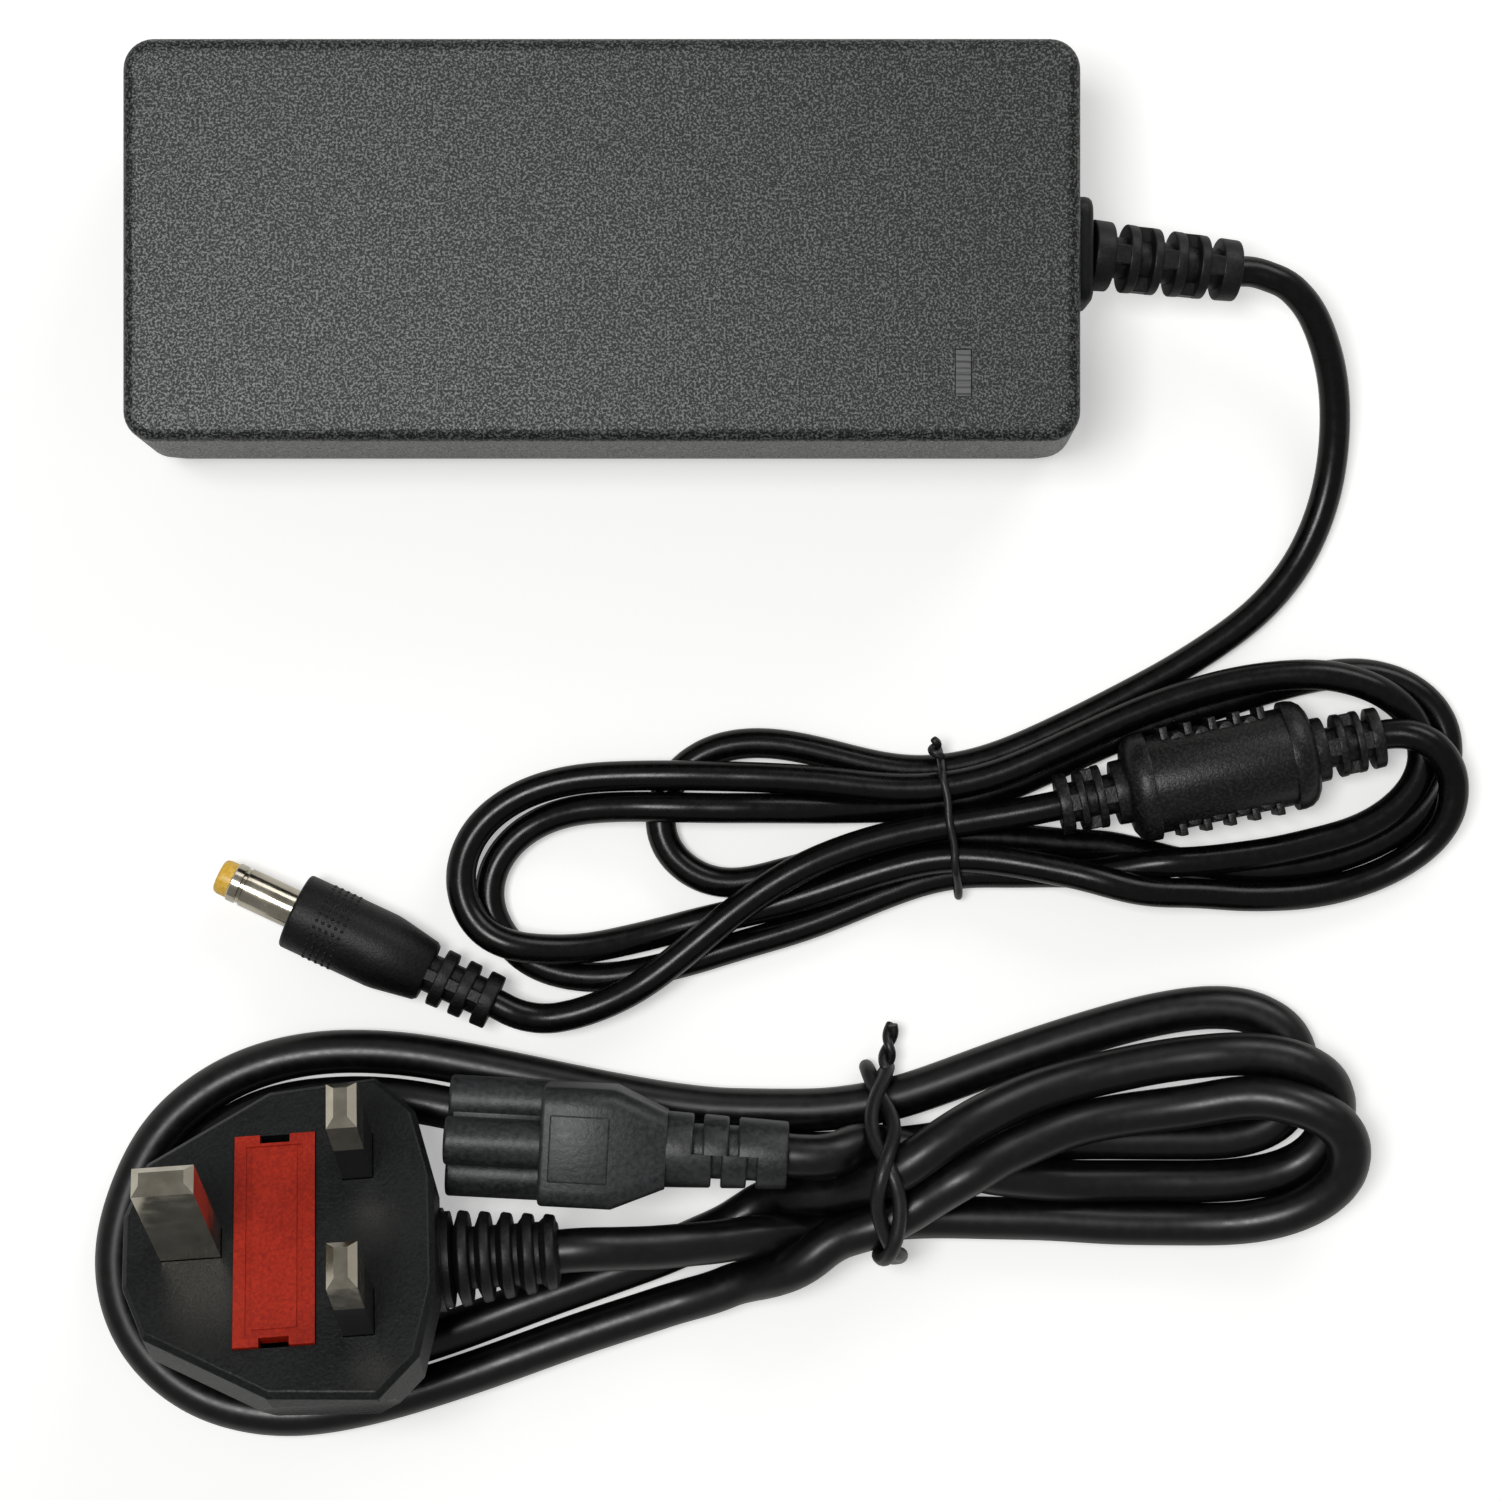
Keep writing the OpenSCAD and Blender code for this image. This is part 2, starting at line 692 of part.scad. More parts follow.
module transformer_core() {
    color("#3a3c40") on_board(transformer_at[0], transformer_at[1]) difference() {
        centred_box(14, 27, transformer_h);
        translate([0, 0, flange_t]) difference() {
            cylinder(d = 21, h = transformer_h - 2 * flange_t);
            translate([0, 0, -through]) cylinder(d = 9, h = transformer_h);
        }
    }
}

module transformer_winding() {
    color("#e0c341") on_board(transformer_at[0], transformer_at[1]) translate([0, 0, flange_t]) difference() {
        cylinder(d = 21 - 2 * fit_gap, h = transformer_h - 2 * flange_t);
        translate([0, 0, -through]) cylinder(d = 9 + 2 * fit_gap, h = transformer_h);
    }
}

module y_capacitor() {
    color("#2f6fa8") on_board(56, 3.4 - board_edge) {
        translate([0, 2, 5.6]) rotate([90, 0, 0]) cylinder(d = 8, h = 4);
        for (x = [-1, 1]) {
            translate([x * 2.5, 0, 0]) cylinder(d = 0.6, h = 3.2);
        }
    }
}

module optocoupler() {
    color("#e8e6df") on_board(68, 3.2 - board_edge) centred_box(6.5, 4.6, 3.5);
}

module controller_chip() {
    color("#232427") on_board(50, 4) translate([0, 0, -board_t - 1.5]) centred_box(5, 4, 1.5);
}

module secondary_heatsink() {
    color("#b4b7ba") on_board(85, board_edge - sink_off) heatsink(18, 3.5);
}

module output_rectifier() {
    color("#1c1d1f") on_board(85, board_edge - device_off) power_device();
}

module output_capacitors() {
    color("#3a2f58") {
        for (p = [[80, 6], [80, -5.4], [90.4, 0.4]]) {
            on_board(p[0], p[1]) cylinder(d = 10, h = room_h - can_clear);
        }
    }
}

module output_choke() {
    color("#4a4c50") on_board(78.5, 5.4 - board_edge) {
        cylinder(d = 9, h = 1.6);
        cylinder(d = 5, h = 9);
        translate([0, 0, 7.4]) cylinder(d = 9, h = 1.6);
    }
}

module output_wires() {
    lead_d = 1.6;
    lead_y = 1.2;
    foot_x = board_x1 - lead_d;
    color("#c23b30") for (y = [-lead_y, lead_y]) {
        translate([foot_x, y, mid_z]) rotate([0, 90, 0]) cylinder(d = lead_d, h = anchor_x - foot_x);
        translate([foot_x, y, board_top]) cylinder(d = lead_d, h = mid_z - board_top);
        translate([foot_x, y, mid_z]) sphere(d = lead_d);
    }
}

module shield(width, x0, x1, t, top) {
    length = x1 - x0;
    translate([(x0 + x1) / 2, 0, board_top + 1]) difference() {
        centred_box(length, width, top - board_top - 1);
        translate([0, 0, -through]) centred_box(length + 2, width - 2 * t, top - t - board_top - 1 + through);
    }
}

module heat_spreader() {
    color("#c9ccce") shield(shield_w, shield_x0, shield_x1, spreader_t, shield_top);
}

module insulating_sheet() {
    color("#e9e4d2") shield(shield_w - 2 * spreader_t, shield_x0, shield_x1, sheet_t, sheet_top);
}

module thermal_pad() {
    pad_z = board_top + transformer_h;
    color("#9aa7b5") on_board(transformer_at[0], transformer_at[1]) translate([0, 0, transformer_h])
        centred_box(13, 24, sheet_top - sheet_t - pad_z);
}

// Output lead
module output_strain_relief() {
    neck_x = case_l / 2 - wall - fit_gap;
    color("#17181a") {
        translate([case_l / 2, 0, mid_z]) rotate([0, 90, 0])
            round_block(relief_flange_h, relief_flange_w, relief_flange_l, 2);
        translate([neck_x, 0, mid_z]) rotate([0, 90, 0])
            round_block(relief_neck_w, relief_neck_w, wall + fit_gap, 1);
        translate([anchor_x, 0, mid_z]) rotate([0, 90, 0])
            round_block(relief_flange_h, relief_flange_w, relief_anchor_l, 2);
        translate(relief_root) rotate([0, 90 + relief_dip, relief_swing]) {
            translate([0, 0, -1]) cylinder(d = dc_relief_d, h = 1);
            slotted_relief(dc_relief_l, dc_relief_d, dc_cord_d + 3.4, dc_cord_d, 4, 0.9);
        }
    }
}

module output_cord_run() {
    color("#101112") cord_tube(output_run_route, dc_cord_d, 10);
}

module output_cord_hank() {
    color("#101112") difference() {
        linear_extrude(output_hank_h) difference() {
            polygon(output_outline);
            polygon(brick_side_opening);
            polygon(plug_side_opening);
            polygon(small_opening);
        }
        output_tie(fit_gap);
    }
}

module bead_link_cord() {
    color("#101112") cord_tube(bead_link_route, dc_cord_d, 10);
}

module output_plug_cord() {
    color("#101112") {
        cord_tube(bead_exit_route, dc_cord_d, 10);
        cord_tube(plug_cord_route, dc_cord_d, 10);
    }
}

module ferrite_moulding() {
    half = bead_l / 2;
    r = bead_d / 2;
    color("#1a1b1d") place_bead() {
        difference() {
            union() {
                rotate_extrude() difference() {
                    translate([0, -half]) square([r, bead_l]);
                    for (y = [-1, 1]) {
                        translate([r - bead_round, y * (half - bead_round)]) difference() {
                            translate([0, y > 0 ? 0 : -bead_round - through])
                                square(bead_round + through);
                            circle(r = bead_round);
                        }
                    }
                }
                for (i = [0:teeth - 1]) {
                    translate([0, 0, (i - (teeth - 1) / 2) * tooth_pitch - tooth_w / 2])
                        centred_box(5, 2 * (r + tooth_out), tooth_w);
                }
            }
            translate([0, 0, -core_l / 2 - fit_gap])
                cylinder(d = core_d + 2 * fit_gap, h = core_l + 2 * fit_gap);
        }
        for (side = [0, 1]) {
            mirror([0, 0, side]) translate([0, 0, half])
                slotted_relief(bead_relief_l, bead_relief_d, dc_cord_d + 2.6, dc_cord_d, 3, 0.8);
        }
    }
}

module ferrite_core() {
    color("#4b4d50") place_bead() difference() {
        translate([0, 0, -core_l / 2]) cylinder(d = core_d, h = core_l);
        translate([0, 0, -core_l / 2 - through]) cylinder(d = core_bore, h = core_l + 2 * through);
    }
}

module bead_inner_cord() {
    color("#101112") place_bead() translate([0, 0, -core_l / 2 - fit_gap])
        cylinder(d = dc_cord_d, h = core_l + 2 * fit_gap);
}

// Closed loop of wire round the bundle, standing in the YZ plane
module output_tie(grow) {
    w = output_tie_y[1] - output_tie_y[0] - 2 * tie_bite;
    y = (output_tie_y[0] + output_tie_y[1]) / 2;
    h = output_tie_h;
    t = wire_d + grow;
    translate([output_tie_x - wire_d / 2 - grow, y, h / 2 + wire_d]) rotate([0, 90, 0]) difference() {
        round_block(h + 2 * t, w + 2 * t, wire_d + 2 * grow, 3);
        translate([0, 0, -through]) round_block(h - 2 * grow, w - 2 * grow, wire_d + 2 * (grow + through), 2);
    }
}

module output_cord_tie() {
    color("#0d0e0f") output_tie(0);
}

module output_plug_grip() {
    body_z = grip_relief_l;
    front_z = body_z + grip_l;
    color("#1a1b1d") place_output_plug() {
        slotted_relief(grip_relief_l, grip_relief_d, dc_cord_d + 2.4, dc_cord_d, 1, 0);
        difference() {
            union() {
                translate([0, 0, body_z]) cylinder(d1 = grip_back_d, d2 = grip_d, h = grip_taper_l);
                translate([0, 0, body_z + grip_taper_l]) cylinder(d = grip_d, h = grip_l - grip_taper_l);
            }
            translate([0, 0, front_z - barrel_root]) cylinder(d = barrel_root_d, h = barrel_root + through);
        }
    }
}

module output_plug_barrel() {
    z = grip_relief_l + grip_l;
    color("#c7c3b8") place_output_plug() difference() {
        union() {
            translate([0, 0, z]) cylinder(d = barrel_d, h = barrel_l);
            translate([0, 0, z - barrel_root]) cylinder(d = barrel_root_d, h = barrel_root + tiny);
        }
        translate([0, 0, z - barrel_root - through])
            cylinder(d = barrel_bore, h = barrel_root + barrel_l + 2 * through);
    }
}

module output_plug_insulator() {
    z = grip_relief_l + grip_l;
    color("#e3a51c") place_output_plug() difference() {
        union() {
            translate([0, 0, z + barrel_l]) cylinder(d = plug_tip_d, h = plug_tip_l);
            translate([0, 0, z - barrel_root]) cylinder(d = liner_d, h = barrel_root + barrel_l + tiny);
        }
        translate([0, 0, z - barrel_root - through])
            cylinder(d = liner_bore, h = barrel_root + barrel_l + plug_tip_l + 2 * through);
    }
}

module output_plug_contact() {
    z = grip_relief_l + grip_l;
    depth = barrel_root + barrel_l + plug_tip_l - 1;
    color("#c9a24a") place_output_plug() translate([0, 0, z - barrel_root]) difference() {
        cylinder(d = contact_d, h = depth);
        translate([0, 0, 1]) cylinder(d = barrel_bore_d, h = depth);
    }
}

// Mains lead
function plug_half() = [
    [plug_l * 0.51, plug_w * 0.17], [plug_l * 0.453, plug_w * 0.385], [plug_l * 0.325, plug_w * 0.5],
    [-plug_l * 0.024, plug_w * 0.476], [-plug_l * 0.42, plug_w * 0.273], [-plug_l * 0.49, plug_w * 0.11]
];

module plug_slab(z, inset, share) {
    half = plug_half();
    other = [for (i = [len(half) - 1 : -1 : 0]) [half[i][0], -half[i][1]]];
    translate([0, 0, z]) linear_extrude(tiny) offset(delta = -inset) scale(share)
        polygon(concat(half, other));
}

module plug_solid(grow) {
    hull() {
        plug_slab(grow - tiny, plug_edge - grow, 1);
        plug_slab(-plug_edge, -grow, 1);
        plug_slab(-plug_rim, -grow, 1);
        plug_slab(-plug_depth - grow, -grow, plug_back);
    }
}

module mains_plug_body() {
    grip_r = 9;
    grip_bite = 2;
    stub = 12;
    color("#1d1f20") place_mains_plug() difference() {
        union() {
            plug_solid(0);
            translate([relief_u - stub, 0, -cord_drop]) rotate([0, 90, 0])
                cylinder(d = mains_relief_d + 1, h = stub);
        }
        for (v = [-1, 1]) {
            translate([-4, v * (plug_w / 2 + grip_r - grip_bite), -plug_rim]) rotate([0, 90, 0])
                cylinder(r = grip_r, h = plug_l / 2);
        }
        translate([0, 0, -pocket_depth])
            centred_box(carrier_w + 2 * fit_gap, carrier_l + 2 * fit_gap, pocket_depth + through);
        translate([-earth_pitch / 2, 0, -pin_root])
            centred_box(earth_w + 2 * fit_gap, earth_t + 2 * fit_gap, pin_root + through);
        for (v = [-1, 1]) {
            translate([live_u, v * pin_pitch / 2, -pin_root])
                centred_box(live_t + 2 * fit_gap, live_w + 2 * fit_gap, pin_root + through);
        }
    }
}

module earth_pin() {
    color("#c9c5ba") place_mains_plug() translate([-earth_pitch / 2, 0, -pin_root])
        pin_bar(earth_w, earth_t, earth_l + pin_root);
}

module power_pin(side) {
    neck = pin_root + sleeve_l;
    place_mains_plug() translate([live_u, side * pin_pitch / 2, -pin_root]) {
        centred_box(live_t - 2 * sleeve_t, live_w - 2 * sleeve_t, neck + tiny);
        translate([0, 0, neck]) pin_bar(live_t, live_w, pin_l - sleeve_l);
    }
}

module live_pin() {
    color("#c9c5ba") power_pin(-1);
}

module neutral_pin() {
    color("#c9c5ba") power_pin(1);
}

module pin_sleeves() {
    bore_l = live_t - 2 * sleeve_t;
    bore_w = live_w - 2 * sleeve_t;
    color("#141516") place_mains_plug() {
        for (v = [-1, 1]) {
            translate([live_u, v * pin_pitch / 2, -pin_root]) difference() {
                centred_box(live_t, live_w, pin_root + sleeve_l);
                translate([0, 0, -through]) centred_box(bore_l, bore_w, pin_root + sleeve_l + 2 * through);
            }
        }
    }
}

module fuse_clips() {
    side = fuse_d / 2 + clip_gap;
    color("#c7a14c") place_mains_plug() {
        for (v = [-1, 1]) {
            translate([0, v * (fuse_l - cap_l) / 2, -pocket_depth]) {
                centred_box(2 * (side + clip_t), cap_l - 1, clip_t);
                for (u = [-1, 1]) {
                    translate([u * (side + clip_t / 2), 0, 0]) centred_box(clip_t, cap_l - 1, fuse_d);
                }
            }
        }
    }
}

module mains_plug_relief() {
    pitch = mains_relief_l / fins;
    fall = (mains_relief_d - mains_relief_tip) / fins;
    color("#1a1b1d") place_mains_plug() translate([relief_u, 0, -cord_drop]) rotate([0, 90, 0]) {
        cylinder(d = ac_cord_d + 2.2, h = mains_relief_l);
        for (i = [0:fins - 1]) {
            translate([0, 0, i * pitch + (i > 0 ? fin_gap : 0)])
                cylinder(d = mains_relief_d - i * fall, h = pitch - (i > 0 ? fin_gap : 0));
        }
    }
}

module mains_plug_cord() {
    color("#121314") cord_tube(mains_plug_route, ac_cord_d, 12);
}

module mains_socket_cord() {
    color("#121314") cord_tube(mains_socket_route, ac_cord_d, 12);
}

module mains_cord_hank() {
    color("#121314") difference() {
        union() {
            linear_extrude(mains_loop_h) difference() {
                polygon(mains_left_outline);
                polygon(mains_left_opening);
            }
            linear_extrude(mains_hank_h) difference() {
                polygon(mains_right_outline);
                polygon(mains_right_opening);
            }
            linear_extrude(mains_neck_h) polygon(mains_neck_outline);
        }
        place_mains_plug() plug_solid(0.3);
        mains_tie(fit_gap);
    }
}

// Flat tie round the bundle, standing in the YZ plane
module mains_tie(grow) {
    w = mains_tie_y[1] - mains_tie_y[0] - 2 * tie_bite;
    h = mains_tie_top - mains_tie_t;
    t = mains_tie_t + grow;
    y = (mains_tie_y[0] + mains_tie_y[1]) / 2;
    x = mains_tie_x - mains_tie_w / 2 - grow;
    translate([x, y, h / 2 + mains_tie_t]) rotate([0, 90, 0]) difference() {
        round_block(h + 2 * t, w + 2 * t, mains_tie_w + 2 * grow, 2);
        translate([0, 0, -through])
            round_block(h - 2 * grow, w - 2 * grow, mains_tie_w + 2 * (grow + through), 1);
    }
}

module mains_cord_tie() {
    top = mains_tie_top + mains_tie_t;
    color("#0d0e0f") {
        mains_tie(0);
        translate([mains_tie_x, mains_tie_y[1] - 3, top + tail_d / 2 - 0.4]) rotate([-90, 0, 0])
            cylinder(d = tail_d, h = tail_l);
    }
}

module mains_socket() {
    color("#1b1c1e") place_mains_socket() difference() {
        union() {
            clover(lobe_r, nose_l + tiny);
            hull() {
                translate([nose_l, 0, 0]) rotate([0, 90, 0]) round_block(socket_h, socket_w, 10, 2.5);
                translate([nose_l + socket_l - 1, 0, 0]) rotate([0, 90, 0])
                    round_block(socket_relief_d, socket_relief_d, 1, 3);
            }
        }
        at_contacts() translate([0, 0, -through]) cylinder(d = contact_bore, h = nose_l + through);
        at_contacts() translate([0, 0, 1.5]) cylinder(d = contact_od + 2 * fit_gap, h = nose_l);
    }
}

module socket_contacts() {
    color("#c7a14c") place_mains_socket() at_contacts() translate([0, 0, 1.6]) difference() {
        cylinder(d = contact_od, h = nose_l - 0.3);
        translate([0, 0, -through]) cylinder(d = contact_bore, h = nose_l - 1);
    }
}

module mains_socket_relief() {
    color("#1a1b1d") place_mains_socket() translate([nose_l + socket_l, 0, 0]) rotate([0, 90, 0])
        slotted_relief(socket_relief_l, socket_relief_d, ac_cord_d + 2.2, ac_cord_d, 3, 1.1);
}

// Fuse drawer
module fuse_carrier() {
    rim = 1.6;
    panel = 0.5;
    notch = [4, 1.2];
    arm_l = 9;
    arm_t = 1.2;
    arm_u = fuse_d / 2 + fit_gap;
    color("#b5210f") place_mains_plug() {
        difference() {
            translate([0, 0, -carrier_t]) centred_box(carrier_w, carrier_l, carrier_t + carrier_proud);
            translate([0, 0, carrier_proud - panel / 2]) difference() {
                centred_box(carrier_w - 2 * rim, carrier_l - 2 * rim, panel);
                translate([0, 0, -through])
                    centred_box(carrier_w - 3 * rim, carrier_l - 3 * rim, panel + 2 * through);
            }
            for (v = [-1, 1]) {
                translate([0, v * (carrier_l - notch[1]) / 2, -carrier_t - through])
                    centred_box(notch[0], notch[1] + tiny, carrier_t + carrier_proud + 2 * through);
            }
        }
        for (u = [-1, 1]) {
            translate([u * (arm_u + arm_t / 2), 0, -fuse_drop - fuse_d / 4])
                centred_box(arm_t, arm_l, fuse_drop + fuse_d / 4 - carrier_t);
        }
    }
}

module fuse_along(v0, d, length) {
    place_mains_plug() translate([0, v0, -fuse_drop]) rotate([-90, 0, 0]) cylinder(d = d, h = length);
}

module fuse_tube() {
    color("#e9e6dc") fuse_along(cap_l - fuse_l / 2, fuse_d - 0.4, fuse_l - 2 * cap_l);
}

module fuse_caps() {
    color("#c9c5ba") {
        fuse_along(-fuse_l / 2, fuse_d, cap_l);
        fuse_along(fuse_l / 2 - cap_l, fuse_d, cap_l);
    }
}

top_cover();
bottom_cover();
indicator_window();
indicator_led();
ac_inlet();
inlet_pins();
circuit_board();
input_fuse();
inrush_thermistor();
x_capacitor();
choke_core();
choke_windings();
bridge_rectifier();
bulk_capacitor();
switching_transistor();
primary_heatsink();
transformer_core();
transformer_winding();
y_capacitor();
optocoupler();
controller_chip();
output_rectifier();
secondary_heatsink();
output_capacitors();
output_choke();
output_wires();
heat_spreader();
thermal_pad();
insulating_sheet();
output_strain_relief();
output_cord_run();
output_cord_hank();
bead_link_cord();
ferrite_moulding();
ferrite_core();
bead_inner_cord();
output_plug_cord();
output_cord_tie();
output_plug_grip();
output_plug_barrel();
output_plug_insulator();
output_plug_contact();
mains_plug_body();
earth_pin();
live_pin();
neutral_pin();
pin_sleeves();
fuse_clips();
mains_plug_relief();
mains_plug_cord();
mains_cord_hank();
mains_socket_cord();
mains_cord_tie();
mains_socket();
socket_contacts();
mains_socket_relief();
fuse_carrier();
fuse_tube();
fuse_caps();
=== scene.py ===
import bmesh
import bpy
import math
import numpy as np
from mathutils import Matrix, Vector


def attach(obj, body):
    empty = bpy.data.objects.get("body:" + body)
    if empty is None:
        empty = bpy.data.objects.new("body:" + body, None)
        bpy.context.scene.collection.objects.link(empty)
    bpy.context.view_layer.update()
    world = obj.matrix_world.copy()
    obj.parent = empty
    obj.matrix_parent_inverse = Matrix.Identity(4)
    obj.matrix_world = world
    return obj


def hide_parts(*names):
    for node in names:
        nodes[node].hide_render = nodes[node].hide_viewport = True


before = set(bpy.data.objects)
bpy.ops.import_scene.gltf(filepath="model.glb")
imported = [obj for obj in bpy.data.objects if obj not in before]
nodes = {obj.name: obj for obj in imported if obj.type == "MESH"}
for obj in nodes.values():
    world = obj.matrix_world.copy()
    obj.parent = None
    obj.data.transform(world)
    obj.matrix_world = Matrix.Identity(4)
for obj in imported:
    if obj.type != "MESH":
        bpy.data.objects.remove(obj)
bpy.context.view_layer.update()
mm = 0.001
print("frame loaded,", len(nodes), "nodes")

bpy.context.scene.view_settings.view_transform = "Standard"

# Camera, straight above the middle of the set
view = {"x": 19.5, "y": -67.1, "height": 500, "lens": 85.8, "sensor": 36}
eye = bpy.data.cameras.new("camera")
eye.lens = view["lens"]
eye.sensor_width = view["sensor"]
eye.clip_start = 0.01
camera = bpy.data.objects.new("camera", eye)
camera.location = (view["x"] * mm, view["y"] * mm, view["height"] * mm)
bpy.context.scene.collection.objects.link(camera)
bpy.context.scene.camera = camera


# How a cord settles
settling = {
    "step": 2.5,  # millimetres between the points of its line
    "ownRun": 1.6,  # thicknesses along the cord within which it can't touch itself
    "near": 1.5,  # thicknesses between points that may come to touch
    "lookAgain": 8,  # rounds after which those points are looked up again
    "pushes": 4,  # times that touching strands are parted in each round
    "sag": 0.03,  # thicknesses that it sinks in a round
    "late": 0.8, "lateSag": 0.2,  # after this share of the rounds it sinks this much more gently
    "followDown": 0.3,  # how well it keeps its height, beside how well it keeps its place
    "held": 0.6,  # a point whose fourth number is higher stays where it is
    "solidCore": 0.3,  # share of a bar's radius within which a point belongs inside the bar
}


def curveThrough(points, step, fine=24):
    # evenly spaced points on a smooth curve through the given ones; the fourth number says what is held
    rows = np.array([list(p) + [0] * (4 - len(p)) for p in points], float)
    rows = np.vstack([2 * rows[0] - rows[1], rows, 2 * rows[-1] - rows[-2]])
    t = np.linspace(0, 1, fine, endpoint=False)[:, None]
    parts = [
        0.5 * (2 * b + (c - a) * t + (2 * a - 5 * b + 4 * c - d) * t**2 + (3 * b - a - 3 * c + d) * t**3)
        for a, b, c, d in zip(rows, rows[1:], rows[2:], rows[3:])
    ]
    curve = np.vstack(parts + [rows[-2][None]])
    run = np.r_[0, np.cumsum(np.linalg.norm(np.diff(curve[:, :3], axis=0), axis=1))]
    even = np.linspace(0, run[-1], int(run[-1] / step) + 1)
    return np.column_stack([np.interp(even, run, column) for column in curve.T])


def straighten(line, reach):
    # how far each point lies off a smooth bend through its neighbours
    off = np.zeros_like(line)
    r = reach
    off[2 * r:-2 * r] = (
        (line[r:-3 * r] + line[3 * r:-r]) * 4 / 6 - (line[:-4 * r] + line[4 * r:]) / 6 - line[2 * r:-2 * r]
    )
    return off


def partStrands(line, free, i, j, thick):
    # strands that lie into each other move apart, each by half
    away = line[i] - line[j]
    far = np.maximum(np.linalg.norm(away, axis=1), 1e-6)
    deep = np.maximum(thick - far, 0)
    push = away / far[:, None] * deep[:, None]
    total, hits = np.zeros_like(line), np.zeros(len(line))
    np.add.at(total, i, push)
    np.add.at(total, j, -push)
    np.add.at(hits, i, deep > 0)
    np.add.at(hits, j, deep > 0)
    line[free] += (0.5 * total / np.maximum(1, hits * 0.5)[:, None])[free]


def leaveSolid(line, free, solid, half):
    # a point inside a round bar moves out to its side; one on the bar's own axis belongs in it
    start, end, radius = solid
    axis = end - start
    t = np.clip((line - start) @ axis / (axis @ axis), 0, 1)[:, None]
    out = line - start - t * axis
    far = np.maximum(np.linalg.norm(out, axis=1), 1e-6)
    inside = (far < radius + half) & (far > settling["solidCore"] * radius) & free
    line[inside] += (out / far[:, None] * (radius + half - far)[:, None])[inside]


def layCord(points, cord, solids=()):
    # a stiff, heavy cord settles on the floor and on itself, strand against strand
    thick, step = cord["thickness"], settling["step"]
    rows = curveThrough(points, step)
    free, line = rows[:, 3] < settling["held"], rows[:, :3].copy()
    home = line.copy()
    first, second = np.triu_indices(len(line), int(settling["ownRun"] * thick / step) + 1)
    for turn in range(cord["rounds"]):
        if turn % settling["lookAgain"] == 0:
            near = np.linalg.norm(line[first] - line[second], axis=1) < settling["near"] * thick
            i, j = first[near], second[near]
        move = cord["stiffness"] * (straighten(line, 1) + straighten(line, 4))
        move += (home - line) * (cord["follow"], cord["follow"], settling["followDown"] * cord["follow"])
        late = turn >= settling["late"] * cord["rounds"]
        move[:, 2] -= settling["sag"] * thick * (settling["lateSag"] if late else 1)
        line[free] += move[free]
        for push in range(settling["pushes"]):
            partStrands(line, free, i, j, thick)
            for solid in solids:
                leaveSolid(line, free, solid, thick / 2)
            line[free, 2] = np.maximum(line[free, 2], thick / 2)
    evening = np.array([-2, 3, 6, 7, 6, 3, -2]) / 21  # takes out the small kinks that the last pushes leave
    line[5:-5] = np.column_stack([np.convolve(column, evening, "valid") for column in line.T])[2:-2]
    line[:, 2] = np.maximum(line[:, 2], thick / 2)
    return line


# Seats of the moulded pieces on the cords: the origin in millimetres, and how far the axis swings to the
# left and dips, in degrees; the mains plug turns to the left and its face tilts towards the front
reliefSeat = {"origin": (65.5, 0, 15.5), "swing": -5, "dip": 9}
beadSeat = {"origin": (84.2, -70, 7.05), "swing": 12, "dip": 0}
gripSeat = {"origin": (-15, -102.5, 5.4), "swing": -25, "dip": 0}
connectorSeat = {"origin": (-21.8, -119.8, 13.6), "swing": -3, "dip": 0}
plugSeat = {"origin": (-43.5, -132, 26.202), "turn": 4, "tilt": 30, "leadDrop": 11}


def onAxis(seat, along):
    # a held point of a cord on a moulded piece's axis
    x, y, z = seat["origin"]
    swing, dip = math.radians(seat["swing"]), math.radians(seat["dip"])
    flat = along * math.cos(dip)
    return [x + flat * math.cos(swing), y + flat * math.sin(swing), z - along * math.sin(dip), 1]


def onPlug(u, v, w):
    # u along the plug's face away from the earth pin, v across it, w out of the face
    tilt, turn = math.radians(plugSeat["tilt"]), math.radians(plugSeat["turn"])
    left, back, up = plugSeat["origin"]
    y, z = v * math.cos(tilt) + w * math.sin(tilt), w * math.cos(tilt) - v * math.sin(tilt)
    x = left + u * math.cos(turn) - y * math.sin(turn)
    y = back + u * math.sin(turn) + y * math.cos(turn)
    return [x, y, up + z]


def onPlugLead(u):
    # a held point on the axis of the lead that leaves the plug
    return onPlug(u, 0, -plugSeat["leadDrop"]) + [1]


